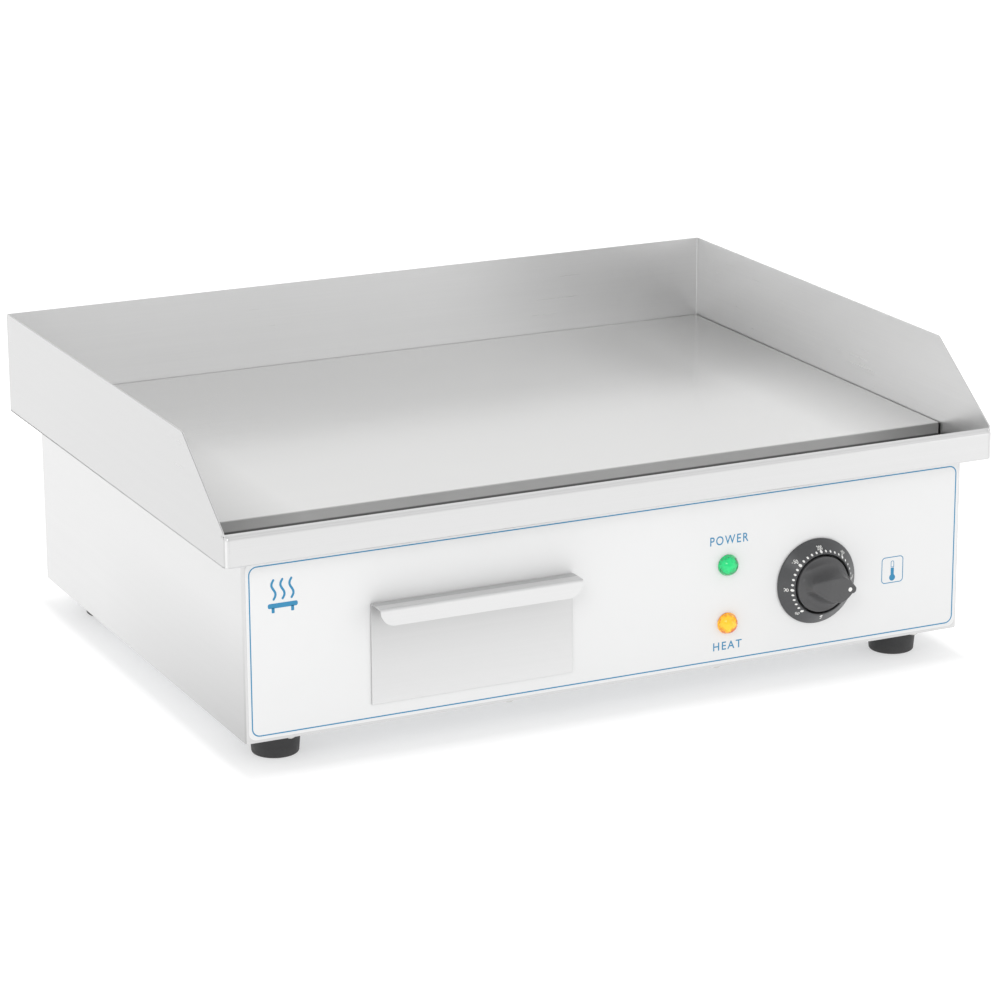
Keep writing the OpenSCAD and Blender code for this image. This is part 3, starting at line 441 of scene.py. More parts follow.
def make_materials():
    # The four steels below get painted shade from the functions they are given.
    brushed("milled_steel", (0.73, 0.73, 0.725), 0.2, 0.012, 0.01, 0.35, shade_painter=plate_tone, sawn=0.35)
    brushed("tray_steel", (0.75, 0.75, 0.75), 0.3, shade_painter=tray_tone)
    brushed("cabinet_steel", (0.635, 0.635, 0.635), 0.34, shade_painter=cabinet_tone)
    brushed("drawer_steel", (0.74, 0.74, 0.74), 0.42, shade_painter=drawer_tone)
    galvanised("galvanised_sheet", (0.62, 0.64, 0.66))
    plain_metal("inner_steel", (0.45, 0.44, 0.43), 0.42, (0.2, 0.15, 0.12), 0.6)
    plain_metal("fastener_steel", (0.72, 0.72, 0.7), 0.22, (0.6, 0.58, 0.52), 0.3)
    plain_metal("element_sheath", (0.3, 0.28, 0.27), 0.4, (0.16, 0.13, 0.17), 0.8)
    moulded("ceramic", (0.84, 0.8, 0.72), 0.22, 0.01, 0.04, 0.5, 400.0)
    blanket("insulation")
    plain_metal("copper", (0.75, 0.42, 0.26), 0.28, (0.42, 0.2, 0.12), 0.7)
    plain_metal("plated_brass", (0.76, 0.66, 0.4), 0.25, (0.5, 0.4, 0.22), 0.5)
    film("printed_film")
    moulded("black_plastic", (0.062, 0.063, 0.066), 0.36)
    moulded("knob_plastic", (0.07, 0.07, 0.072), 0.34)
    moulded("white_plastic", (0.84, 0.82, 0.75), 0.4, 0.01, 0.03)
    lens("green_lens", (0.0, 0.07, 0.02), (0.0, 0.58, 0.17), 0.3)
    lens("amber_lens", (0.5, 0.05, 0.0), (1.0, 0.52, 0.01), 0.25)
    foot_rubber("foot_rubber")
    moulded("lead_brown", (0.17, 0.07, 0.03), 0.5)
    moulded("lead_blue", (0.04, 0.15, 0.5), 0.5)
    striped_lead("lead_green", (0.06, 0.35, 0.05), (0.75, 0.65, 0.04))
    ink("blue_ink", BLUE)
    ink("white_ink", PALE)
    floor_paint("floor")


# ---- shape helpers


def arc(cx, cy, radius, start, end, steps=6):
    """Points on an arc, from one angle in degrees to another."""
    angles = [math.radians(start + (end - start) * i / steps) for i in range(steps + 1)]
    return [(cx + radius * math.cos(a), cy + radius * math.sin(a)) for a in angles]


def circle(cx, cy, radius, steps=32):
    return arc(cx, cy, radius, 0, 360, steps)[:-1]


def round_box(x0, y0, x1, y1, radius, steps=6):
    """Outline of a rectangle with round corners."""
    corners = ((x1, y0, -90), (x1, y1, 0), (x0, y1, 90), (x0, y0, 180))
    points = []
    for x, y, start in corners:
        cx = x - radius if x == x1 else x + radius
        cy = y - radius if y == y1 else y + radius
        points += arc(cx, cy, radius, start, start + 90, steps)
    return points


def ribbon(points, width, steps=5):
    """Outline of a line of some width with round ends."""
    half = width / 2
    count = len(points)
    left, right = [], []
    for i, (x, y) in enumerate(points):
        ax, ay = points[max(i - 1, 0)]
        bx, by = points[min(i + 1, count - 1)]
        size = math.hypot(bx - ax, by - ay)
        nx, ny = -(by - ay) / size, (bx - ax) / size
        left.append((x + nx * half, y + ny * half))
        right.append((x - nx * half, y - ny * half))

    def cap(centre, start):
        angle = math.degrees(math.atan2(start[1] - centre[1], start[0] - centre[0]))
        return arc(*centre, half, angle, angle - 180, steps)[1:-1]

    return left + cap(points[-1], left[-1]) + right[::-1] + cap(points[0], right[0])


def carve(outlines, thick, edge=0.0, segments=2):
    """Flat sheet in XY, centred on z = 0, from an outline and its holes, with round edges."""
    curve = bpy.data.curves.new("outline", "CURVE")
    curve.dimensions = "2D"
    curve.fill_mode = "BOTH"
    curve.extrude = thick / 2 - edge
    curve.bevel_depth = edge
    curve.bevel_resolution = segments
    curve.offset = -edge
    for points in outlines:
        spline = curve.splines.new("POLY")
        spline.points.add(len(points) - 1)
        for point, (x, y) in zip(spline.points, points):
            point.co = (x, y, 0, 1)
        spline.use_cyclic_u = True
    return curve_mesh(curve)


def curve_mesh(curve):
    """Working mesh of a curve or text, which is then thrown away."""
    carrier = bpy.data.objects.new("carrier", curve)
    bpy.context.scene.collection.objects.link(carrier)
    graph = bpy.context.evaluated_depsgraph_get()
    mesh = bpy.data.meshes.new_from_object(carrier.evaluated_get(graph))
    bpy.data.objects.remove(carrier)
    work = bmesh.new()
    work.from_mesh(mesh)
    bpy.data.meshes.remove(mesh)
    bmesh.ops.remove_doubles(work, verts=work.verts, dist=1e-7)
    return work


def put(work, turn, place=(0, 0, 0)):
    """Turns a working mesh and then moves it."""
    bmesh.ops.transform(work, matrix=Matrix.Translation(place) @ turn, verts=work.verts)
    return work


def upright(work, place=(0, 0, 0)):
    """Stands a flat shape up so that it faces the front."""
    return put(work, FACE_FRONT, place)


def fold(work, origin, along, out, radius, angle=QUARTER, steps=8):
    """Bends what lies beyond a line: origin is on the outer face, out points to the bend's centre."""
    reach = radius * angle
    for i in range(steps + 1):
        bmesh.ops.bisect_plane(
            work,
            geom=work.verts[:] + work.edges[:] + work.faces[:],
            plane_co=origin + along * (reach * i / steps),
            plane_no=along,
            dist=1e-7,
        )
    for vert in work.verts:
        offset = vert.co - origin
        s = offset.dot(along)
        if s <= 0:
            continue
        h = offset.dot(out)
        rest = offset - along * s - out * h
        turn = min(s / reach, 1.0) * angle
        over = max(s - reach, 0.0)
        ahead = (radius - h) * math.sin(turn) + over * math.cos(turn)
        inward = radius - (radius - h) * math.cos(turn) + over * math.sin(turn)
        vert.co = origin + rest + along * ahead + out * inward
    return work


def loft(rings, loop=False):
    """Closed skin through rings of equally many points; a ring of one point is a tip."""
    work = bmesh.new()
    made = [[work.verts.new(point) for point in ring] for ring in rings]
    pairs = list(zip(made, made[1:] + made[:1])) if loop else list(zip(made, made[1:]))
    for first, second in pairs:
        count = max(len(first), len(second))
        for i in range(count):
            j = (i + 1) % count
            corners = [first[i % len(first)], first[j % len(first)]]
            corners += [second[j % len(second)], second[i % len(second)]]
            corners = list(dict.fromkeys(corners))
            work.faces.new(corners)
    if not loop:
        for ring in (made[0], made[-1]):
            if len(ring) > 2:
                work.faces.new(ring)
    bmesh.ops.recalc_face_normals(work, faces=work.faces)
    return work


def lathe(profile, steps=96, start=0.0, end=360.0):
    """Turns a closed profile of (radius, height) about Z; less than a full turn gets flat ends."""
    whole = end - start >= 360
    count = steps if whole else steps + 1
    angles = [math.radians(start + (end - start) * i / steps) for i in range(count)]
    rings = [[(r * math.cos(a), r * math.sin(a), z) for r, z in profile] for a in angles]
    return loft(rings, loop=whole)


def spin(profile, steps=96):
    """Turns an open profile of (radius, height) about Z; an end at radius 0 closes in a tip."""
    angles = [2 * math.pi * i / steps for i in range(steps)]
    rings = []
    for r, z in profile:
        rings.append([(0, 0, z)] if r == 0 else [(r * math.cos(a), r * math.sin(a), z) for a in angles])
    return loft(rings)


def join(*works):
    """One working mesh of several."""
    whole = works[0]
    for work in works[1:]:
        mesh = bpy.data.meshes.new("part")
        work.to_mesh(mesh)
        work.free()
        whole.from_mesh(mesh)
        bpy.data.meshes.remove(mesh)
    return whole


def piece(name, work, finish, body, stands_for=(), smooth=40):
    """Makes a working mesh a piece that rides on a body."""
    mesh = bpy.data.meshes.new(name)
    work.to_mesh(mesh)
    work.free()
    mesh.materials.append(MATERIALS[finish])
    mesh.shade_smooth()
    mesh.set_sharp_from_angle(angle=math.radians(smooth))
    made = bpy.data.objects.new(name, mesh)
    bpy.context.scene.collection.objects.link(made)
    level = made.modifiers.new("flat faces stay flat", "WEIGHTED_NORMAL")
    level.keep_sharp = True
    level.weight = 100
    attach(made, body)
    if stands_for:
        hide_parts(*stands_for)
    return made


# ---- plate, tray and splash walls


def cooking_plate():
    lo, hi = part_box("griddle_plate")
    thick = hi.z - lo.z
    work = carve([round_box(lo.x, lo.y, hi.x, hi.y, 1.5 * MM)], thick, 0.7 * MM, 3)
    put(work, LEVEL, (0, 0, (lo.z + hi.z) / 2))
    piece("cooking_plate", work, "milled_steel", "cabinet", stands_for=["griddle_plate"])


def tray_pan():
    """Trough, skirt and lip, folded from one sheet, with its two round front corners."""
    lo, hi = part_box("grease_tray")
    spout = middle("drain_spout")
    drain_r = (high("drain_spout").x - low("drain_spout").x) / 2
    low_r = 1.6 * MM
    skirt_half = -low("splash_left").x - SKIRT_R
    lip = 6 * MM - SKIRT_R
    wall = SKIRT_TOP - SKIRT_R - DECK_Z - low_r
    reach_low = low_r * QUARTER
    reach_top = SKIRT_R * QUARTER
    front = lo.y + low_r
    start = front - reach_low - wall - reach_top
    side = hi.x
    outline = [
        (-side, hi.y),
        (-side, lo.y + SKIRT_R),
        (-skirt_half, lo.y + SKIRT_R),
        (-skirt_half, start),
        (-side, start),
        (-side, start - lip),
        (side, start - lip),
        (side, start),
        (skirt_half, start),
        (skirt_half, lo.y + SKIRT_R),
        (side, lo.y + SKIRT_R),
        (side, hi.y),
    ]
    hatch = round_box(-238 * MM, lo.y + 86 * MM, 238 * MM, lo.y + 388 * MM, 10 * MM)
    work = carve([outline, hatch, circle(spout.x, spout.y, drain_r, 48)], SHEET, 0.15 * MM, 1)
    put(work, LEVEL, (0, 0, DECK_Z + SHEET / 2))
    fold(work, Vector((0, front, DECK_Z)), -Y, Z, low_r)
    fold(work, Vector((0, lo.y, SKIRT_TOP - SKIRT_R)), Z, Y, SKIRT_R)
    inner = SKIRT_R - SHEET
    step = low_r - SHEET
    profile = arc(SKIRT_R - low_r, DECK_Z + low_r, low_r, -90, 0, 4)
    profile += arc(0, SKIRT_TOP - SKIRT_R, SKIRT_R, 0, 90, 8)
    profile += arc(0, SKIRT_TOP - SKIRT_R, inner, 90, 0, 8)
    profile += arc(SKIRT_R - low_r, DECK_Z + low_r, step, 0, -90, 4)
    for sign in (-1, 1):
        start = 180 if sign < 0 else 270
        corner = lathe(profile, 10, start, start + 90)
        put(corner, LEVEL, (sign * skirt_half, lo.y + SKIRT_R, 0))
        work = join(work, corner)
    piece("tray_pan", work, "tray_steel", "cabinet", stands_for=["grease_tray"])


def splash_side(name, node):
    """Side wall with its slanted front; the kinks are slightly round."""
    lo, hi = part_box(node)
    front = lo.y
    slant = low("grease_tray").y + SLANT_D
    foot = SKIRT_TOP + SKIRT_R / 2
    outline = [(front, lo.z), (hi.y, lo.z)]
    outline += arc(hi.y - MM, hi.z - MM, MM, 0, 90, 4)
    outline += [(slant + 0.8 * MM, hi.z), (slant - 0.3 * MM, hi.z - 0.5 * MM)]
    outline += [(front + 0.4 * MM, foot + 0.4 * MM), (front, foot - 0.4 * MM)]
    work = put(carve([outline], SHEET, 0.2 * MM), FACE_RIGHT, ((lo.x + hi.x) / 2, 0, 0))
    piece(name, work, "tray_steel", "cabinet", stands_for=[node])


def splash_back():
    """Rear wall with the ground weld beads in its two inner corners."""
    lo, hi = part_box("splash_back")
    outline = round_box(lo.x, lo.z, hi.x, hi.z, 0.4 * MM, 3)
    work = upright(carve([outline], SHEET, 0.2 * MM), (0, (lo.y + hi.y) / 2, 0))
    bead = 1.3 * MM
    for sign in (-1, 1):
        side = hi.x * sign
        points = [(side, lo.y)] + [
            (side - sign * (bead - x), lo.y - (bead - y))
            for x, y in arc(0, 0, bead, 90, 0, 5)
        ]
        section = [Vector((x, y, 0)) for x, y in points]
        rings = [[point + Z * z for point in section] for z in (DECK_Z + SHEET, hi.z - 0.4 * MM)]
        work = join(work, loft(rings))
    piece("splash_back_wall", work, "tray_steel", "cabinet", stands_for=["splash_back"])


def drain():
    """Spout with a rolled rim that lies on the trough's floor."""
    lo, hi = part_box("drain_spout")
    outer = (hi.x - lo.x) / 2
    inner = outer - SHEET
    rim = 1.6 * MM
    crest = hi.z + 0.75 * MM
    profile = [(inner, lo.z), (outer, lo.z), (outer, hi.z)]
    profile += arc(outer, hi.z + 0.1 * MM, rim, 0, 90, 5)[:-1]
    profile += [(outer + 0.2 * MM, crest), (inner + 0.4 * MM, hi.z + 0.5 * MM), (inner, hi.z - 0.3 * MM)]
    flat = [(r, min(z, crest)) for r, z in profile]
    work = put(lathe(flat, 64), LEVEL, (middle("drain_spout").x, middle("drain_spout").y, 0))
    piece("drain_tube", work, "tray_steel", "cabinet", stands_for=["drain_spout"])


# ---- cabinet


def drawer_opening(play):
    """Outline of the drawer's opening in the panel."""
    lo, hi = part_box("drawer_box")
    gap = DRAWER_GAP + play
    return round_box(lo.x - gap, lo.z - gap, hi.x + gap, hi.z + gap, 0.5 * MM, 2)


def lamp_holes(radius):
    return [circle(middle(n).x, middle(n).z, radius) for n in ("lamp_lens_green", "lamp_lens_amber")]


def cabinet_body():
    """Front and sides, folded from one sheet, with a flange under the tray and one over the base."""
    lo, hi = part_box("cabinet_shell")
    flange = 12 * MM
    flat = hi.x - CABINET_R
    corner = CABINET_R * QUARTER
    end = flat + corner + hi.y - lo.y - CABINET_R
    spout = middle("drain_spout")
    top = hi.z - FOLD_R + FOLD_R * QUARTER + flange - FOLD_R
    bend = hi.z - FOLD_R
    relief = flange + 2 * MM
    right = [
        (end, lo.z),
        (end, hi.z),
        (end - 4 * MM, hi.z),
        (end - 4 * MM, top),
        (flat + corner + relief, top),
        (flat + corner + relief, hi.z),
        (flat - relief, hi.z),
        (flat - relief, top),
    ]
    spout_gap = 14 * MM
    steps = ((1, top), (1, top - 6 * MM), (-1, top - 6 * MM), (-1, top))
    notch = [(spout.x + side * spout_gap, z) for side, z in steps]
    outline = right + notch + [(-x, z) for x, z in reversed(right)]
    holes = [drawer_opening(0), circle(DIAL.x, DIAL.z, 5 * MM)] + lamp_holes(5 * MM)
    work = upright(carve([outline] + holes, SHEET, 0.15 * MM, 1), (0, lo.y + SHEET / 2, 0))
    fold(work, Vector((0, lo.y, bend)), Z, Y, FOLD_R)
    for sign in (-1, 1):
        fold(work, Vector((sign * flat, lo.y, 0)), sign * X, Y, CABINET_R)
    inner = hi.x - SHEET
    base_z = low("base_plate").z + SHEET
    strip = [
        (-inner, hi.y - 2 * MM),
        (-inner, lo.y + SHEET),
        (inner, lo.y + SHEET),
        (inner, hi.y - 2 * MM),
        (inner - flange, hi.y - 2 * MM),
        (inner - flange, lo.y + SHEET + flange),
        (-inner + flange, lo.y + SHEET + flange),
        (-inner + flange, hi.y - 2 * MM),
    ]
    work = join(work, put(carve([strip], SHEET, 0.1 * MM, 1), LEVEL, (0, 0, base_z + SHEET / 2)))
    for sign in (-1, 1):
        ends = sorted((sign * inner, sign * (inner - flange)))
        rear = round_box(ends[0], base_z + SHEET, ends[1], hi.z - SHEET, 0.5 * MM, 2)
        work = join(work, upright(carve([rear], SHEET, 0.1 * MM, 1), (0, hi.y - 1.5 * SHEET, 0)))
    piece("cabinet_body", work, "cabinet_steel", "cabinet", stands_for=["cabinet_shell"])


def back_cover():
    """Rear panel with its vents and a folded upper flange."""
    lo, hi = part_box("rear_panel")
    gland = middle("gland_nut")
    stud = middle("bonding_nuts")
    flange = 6 * MM
    bend = hi.z - FOLD_R
    top = bend + FOLD_R * QUARTER + flange - FOLD_R
    notch = 13 * MM
    outline = [
        (lo.x, lo.z),
        (hi.x, lo.z),
        (hi.x, bend),
        (hi.x - notch, bend),
        (hi.x - notch, top),
        (lo.x + notch, top),
        (lo.x + notch, bend),
        (lo.x, bend),
    ]
    holes = [circle(gland.x, gland.z, 10 * MM, 48), circle(stud.x, stud.z, 3 * MM)]
    for i in range(11):
        x = (-150 + 12 * i) * MM
        z = CABINET_Z + 35 * MM
        holes.append(round_box(x - 1.5 * MM, z, x + 1.5 * MM, z + 40 * MM, 1.45 * MM))
    work = carve([outline] + holes, SHEET, 0.15 * MM, 1)
    upright(work, (0, hi.y - SHEET / 2, 0))
    fold(work, Vector((0, hi.y, bend)), Z, -Y, FOLD_R)
    piece("back_cover", work, "cabinet_steel", "cabinet", stands_for=["rear_panel"])


def bottom_cover():
    """Base with its vent slots and the holes for the feet's screws."""
    lo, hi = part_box("base_plate")
    holes = [circle(middle(foot).x, middle(foot).y, 2.6 * MM, 24) for foot in FEET]
    for i in range(7):
        x = (20 + 14 * i) * MM
        y = low("grease_tray").y + 150 * MM
        holes.append(round_box(x - 2 * MM, y, x + 2 * MM, y + 80 * MM, 1.95 * MM))
    outline = round_box(lo.x, lo.y, hi.x, hi.y, 1 * MM, 3)
    work = carve([outline] + holes, SHEET, 0.15 * MM, 1)
    put(work, LEVEL, (0, 0, (lo.z + hi.z) / 2))
    piece("bottom_cover", work, "galvanised_sheet", "cabinet", stands_for=["base_plate"])


def foot(node):
    """Tapered rubber foot with a collar at its top and a recess for its screw."""
    lo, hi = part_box(node)
    z = lo.z
    low_r = 15.3 * MM
    edge = 1.5 * MM
    profile = [(5.5 * MM, z), (6.1 * MM, z)]
    profile += arc(low_r - edge, z + edge, edge, -90, -8, 5)
    profile += [(low_r + 0.95 * MM, z + 13 * MM), (low_r + 1.1 * MM, z + 14 * MM)]
    profile += arc(FOOT_R - 0.8 * MM, hi.z - 0.8 * MM, 0.8 * MM, 0, 90, 4)
    profile += [(2.65 * MM, hi.z), (2.65 * MM, z + 9 * MM), (5.5 * MM, z + 9 * MM)]
    work = put(lathe(profile, 96), LEVEL, (middle(node).x, middle(node).y, 0))
    piece(node + "_pad", work, "foot_rubber", "cabinet", stands_for=[node])


# ---- control panel


def panel_film():
    lo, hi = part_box("panel_film")
    outline = round_box(lo.x, lo.z, hi.x, hi.z, 5 * MM)
    holes = [drawer_opening(0.3 * MM), circle(DIAL.x, DIAL.z, 5.4 * MM)] + lamp_holes(5.3 * MM)
    work = carve([outline] + holes, hi.y - lo.y, 0.08 * MM)
    upright(work, (0, (lo.y + hi.y) / 2, 0))
    piece("control_film", work, "printed_film", "cabinet", stands_for=["panel_film"])


def print_on_film(name, outlines, ink_name="blue_ink"):
    """Thin printed shape on the film; the outlines are given as they are seen on the panel."""
    thick = 0.06 * MM
    work = upright(carve(outlines, thick), (0, FILM_Y - thick / 4, 0))
    piece(name, work, ink_name, "cabinet")


def frame_line():
    """Fine blue line round the panel."""
    lo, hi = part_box("cabinet_shell")
    inset_x, inset_low, inset_top = 4 * MM, 4 * MM, 4.8 * MM
    width = 0.8 * MM
    corners = (lo.x + inset_x, lo.z + inset_low, hi.x - inset_x, hi.z - inset_top)
    inner = (corners[0] + width, corners[1] + width, corners[2] - width, corners[3] - width)
    print_on_film("frame_line", [round_box(*corners, 5.6 * MM, 10), round_box(*inner, 4.8 * MM, 10)])


def letters(text, height, spacing, weight):
    """Working mesh of a word in XY, centred, with capitals of a given height."""
    curve = bpy.data.curves.new("word", "FONT")
    curve.body = text
    curve.align_x = "CENTER"
    curve.size = height / 0.72
    curve.space_character = spacing
    curve.extrude = 0.03 * MM
    curve.offset = weight
    work = curve_mesh(curve)
    xs = [vert.co.x for vert in work.verts]
    ys = [vert.co.y for vert in work.verts]
    stretch = height / (max(ys) - min(ys))
    centre = Vector(((max(xs) + min(xs)) / 2, (max(ys) + min(ys)) / 2, 0))
    bmesh.ops.translate(work, vec=-centre, verts=work.verts)
    bmesh.ops.scale(work, vec=(1, stretch, 1), verts=work.verts)
    return work


def label(name, text, x, z, width, height):
    """Word printed on the film, fitted to a width and a height."""
    work = letters(text, height, 1.25, 0.07 * MM)
    xs = [vert.co.x for vert in work.verts]
    bmesh.ops.scale(work, vec=(width / (max(xs) - min(xs)), 1, 1), verts=work.verts)
    upright(work, (x, FILM_Y - 0.015 * MM, z))
    piece(name, work, "blue_ink", "cabinet")


def thermometer():
    """Round square with a thermometer in it."""
    x, z = 207.2 * MM, CABINET_Z + 48.4 * MM
    half_x, half_z, line = 8.4 * MM, 9.2 * MM, 0.55 * MM
    outer = round_box(x - half_x, z - half_z, x + half_x, z + half_z, 2.6 * MM)
    inner = round_box(
        x - half_x + line, z - half_z + line, x + half_x - line, z + half_z - line, 2.1 * MM
    )
    print_on_film("thermometer_frame", [outer, inner])
    bulb, stem, bulb_z = 2.3 * MM, 1.25 * MM, z - 5.4 * MM
    angle = math.degrees(math.asin(stem / bulb))
    fluid_top = z + 1.4 * MM
    filled = arc(x, bulb_z, bulb, 90 + angle, 450 - angle, 24)
    filled += [(x + stem, fluid_top), (x - stem, fluid_top)]
    print_on_film("thermometer_fluid", [filled])
    tube_top = z + 6.4 * MM
    thin = 0.4 * MM
    outer = [(x - stem, fluid_top + thin), (x + stem, fluid_top + thin)]
    outer += arc(x, tube_top - stem, stem, 0, 180, 10)
    inner = [(x - stem + thin, fluid_top + 2 * thin), (x + stem - thin, fluid_top + 2 * thin)]
    inner += arc(x, tube_top - stem, stem - thin, 0, 180, 10)
    print_on_film("thermometer_tube", [outer, inner])


def hot_plate_sign():
    """Plain pictogram: three waves of heat over a plate."""
    x, z = -233 * MM, CABINET_Z + 88 * MM
    plate = round_box(x - 10 * MM, z - 1.6 * MM, x + 10 * MM, z + 1.6 * MM, 1.2 * MM)
    print_on_film("sign_plate", [plate])
    for side, leg_x in (("left", x - 6.5 * MM), ("right", x + 6.5 * MM)):
        leg = round_box(leg_x - MM, z - 4.6 * MM, leg_x + MM, z - 1.2 * MM, 0.5 * MM)
        print_on_film("sign_leg_" + side, [leg])
    for i in (-1, 0, 1):
        middle_x = x + i * 6 * MM
        wave = []
        for step in range(17):
            t = step / 16
            wave.append((middle_x + 1.3 * MM * math.sin(2 * math.pi * t), z + (4.2 + 12.5 * t) * MM))
        print_on_film("sign_wave_%d" % (i + 2), [ribbon(wave, 1.5 * MM)])


# ---- dial and knob


def cone_out(radius):
    """How far the bezel's cone stands out from the film at a radius."""
    foot_r, foot_out = BEZEL_R - 0.3 * MM, BEZEL_FLOOR
    share = (foot_r - radius) / (foot_r - BEZEL_TOP_R)
    return foot_out + share * (BEZEL_OUT - foot_out)


def dial_bezel():
    """Cup with a conical rim that carries the scale."""
    hub = 5.2 * MM
    rim = BEZEL_BORE + 0.25 * MM
    profile = [(hub, 0), (BEZEL_R - 0.2 * MM, 0)]
    profile += arc(BEZEL_R - 0.5 * MM, 0.7 * MM, 0.5 * MM, -45, 0, 3)
    profile += arc(BEZEL_R - 0.8 * MM, 1.2 * MM, 0.8 * MM, 0, 42, 4)
    profile += arc(BEZEL_TOP_R - 0.5 * MM, BEZEL_OUT - 0.5 * MM, 0.5 * MM, 42, 90, 4)
    profile += [(rim, BEZEL_OUT), (BEZEL_BORE, BEZEL_OUT - 0.25 * MM)]
    profile += [(BEZEL_BORE, BEZEL_FLOOR), (hub, BEZEL_FLOOR)]
    work = upright(lathe(profile, 144), DIAL)
    piece("dial_ring", work, "black_plastic", "cabinet", stands_for=["dial_bezel"])


def wrap_on_cone(work):
    """Lays a flat mark, drawn round the dial's axis in XY, on the bezel's cone, facing the front."""
    for vert in work.verts:
        x, z, thick = vert.co
        out = cone_out(math.hypot(x, z)) + 0.02 * MM + thick
        vert.co = (DIAL.x + x, DIAL.y - out, DIAL.z + z)
    return work


def scale_angle(value):
    """Where a temperature stands on the scale, clockwise from the top."""
    return math.radians(221 + (value - 50) * 0.91)


def dial_scale():
    """Dots every 10 degrees Celsius, larger at the numbers, and the numbers."""
    ring = BEZEL_TOP_R + 0.95 * MM
    large, small = 0.95 * MM, 0.7 * MM
    dots = carve([circle(0, -ring, large, 16)], 0.05 * MM)
    for value in range(50, 301, 10):
        angle = scale_angle(value)
        size = small if value % 50 else large
        spot = circle(ring * math.sin(angle), ring * math.cos(angle), size, 16)
        dots = join(dots, carve([spot], 0.05 * MM))
    piece("scale_dots", wrap_on_cone(dots), "white_ink", "cabinet")
    for value in (0, 50, 100, 150, 200, 250, 300):
        angle = scale_angle(value) if value else 0.985 * math.pi
        word = str(value)
        work = letters(word, 2.3 * MM, 1.0, 0.03 * MM)
        radius = ring + (2.0 + 1.5 * abs(math.sin(angle))) * MM
        place = (radius * math.sin(angle), radius * math.cos(angle), 0)
        bmesh.ops.scale(work, vec=(0.84, 1, 1), verts=work.verts)
        bmesh.ops.translate(work, vec=place, verts=work.verts)
        piece("scale_number_" + word, wrap_on_cone(work), "white_ink", "cabinet")


def ease(share):
    """Smooth step from 0 to 1."""
    share = min(max(share, 0.0), 1.0)
    return share * share * (3 - 2 * share)


def grip_half(u):
    """Half width of the grip's top at a distance along it: a leaf, widest near its tip."""
    if u < GRIP_WIDEST:
        share = (u - GRIP_TAIL) / (GRIP_WIDEST - GRIP_TAIL)
        return (3 + 4.7 * math.sin(QUARTER * share)) * MM
    share = (u - GRIP_WIDEST) / (GRIP_TIP - GRIP_WIDEST)
    return (7.7 - 5.1 * share**1.6) * MM


def knob_height(u, v):
    """Height of the knob's face over the film: a dished cap that sweeps up to the grip's top."""
    radius = math.hypot(u, v)
    share = min(radius / CAP_R, 1.0)
    bevel = 0.9 * MM
    edge = max(radius - (CAP_R - bevel), 0.0)
    cap = CAP_TOP - 2 * MM * (1 - share**2) - (bevel - math.sqrt(max(bevel**2 - edge**2, 0.0)))
    along = min(max(u, GRIP_TAIL), GRIP_TIP)
    wider = 1 + 0.25 * ease(-v / (7 * MM))
    outside = math.hypot(u - along, v) - wider * grip_half(along)
    flank = 8.5 * MM
    crest = 0.8 * MM
    share = min(max(outside, 0.0) / flank, 1.0)
    rise = (1 - share) ** 3
    rise *= 1 - 0.06 * ease((outside + crest) / (2 * crest))
    crown = 0.3 * MM * (v / (7 * MM)) ** 2
    drop = 2.5 * MM * ease(-u / (13 * MM))
    top = KNOB_OUT - 0.1 * MM - crown - drop
    return cap + (top - cap) * rise


def control_knob():
    """Skirted knob with a pointer grip; its back is hollow round the hub."""
    turns = 180
    rings_out = 76
    angles = [2 * math.pi * i / turns for i in range(turns)]
    rings = [[(0, 0, knob_height(0, 0))]]
    for j in range(1, rings_out + 1):
        r = CAP_R * j / rings_out
        flat = [(r * math.cos(a), r * math.sin(a)) for a in angles]
        rings.append([(u, v, knob_height(u, v)) for u, v in flat])
    back_z = 5 * MM
    deck_z = 8.3 * MM
    wall = CAP_R - 1.8 * MM
    bore, bore_end = 3.02 * MM, 17.4 * MM
    profile = [(CAP_R, back_z + 0.4 * MM), (CAP_R - 0.4 * MM, back_z), (wall, back_z), (wall, deck_z)]
    profile += [(HUB_R, deck_z), (HUB_R, back_z), (bore, back_z), (bore, bore_end)]
    for r, out in profile:
        rings.append([(r * math.cos(a), r * math.sin(a), out) for a in angles])
    rings.append([(0, 0, bore_end)])
    turn = Matrix.Rotation(POINTER_DROP, 4, "Y") @ FACE_FRONT
    work = put(loft(rings), turn, DIAL)
    piece("control_knob", work, "knob_plastic", "knob", stands_for=["knob"], smooth=60)
    spot = 14.4 * MM
    edge, thick = 1.45 * MM, 0.08 * MM
    dot = spin([(0, thick), (0.8 * edge, 0.9 * thick), (edge, 0), (edge, -2 * thick), (0, -2 * thick)], 32)
    put(dot, Matrix.Translation((spot, 0, knob_height(spot, 0))))
    piece("pointer_dot", put(dot, turn, DIAL), "white_ink", "knob")


# ---- lamps


def jewel(name, node, finish):
    """Round lens: a full dome on a plain flange."""
    lo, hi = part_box(node)
    radius = (hi.x - lo.x) / 2
    out = hi.y - lo.y
    flange = 1.1 * MM
    neck = radius - 0.35 * MM
    profile = [(radius, 0)] + arc(radius - 0.3 * MM, flange - 0.3 * MM, 0.3 * MM, 0, 90, 3)
    for i in range(13):
        angle = QUARTER * i / 12
        profile.append((neck * math.cos(angle) if i < 12 else 0, flange + (out - flange) * math.sin(angle)))
    work = upright(spin(profile, 64), (middle(node).x, hi.y, middle(node).z))
    piece(name, work, finish, "cabinet", stands_for=[node])


# ---- drawer


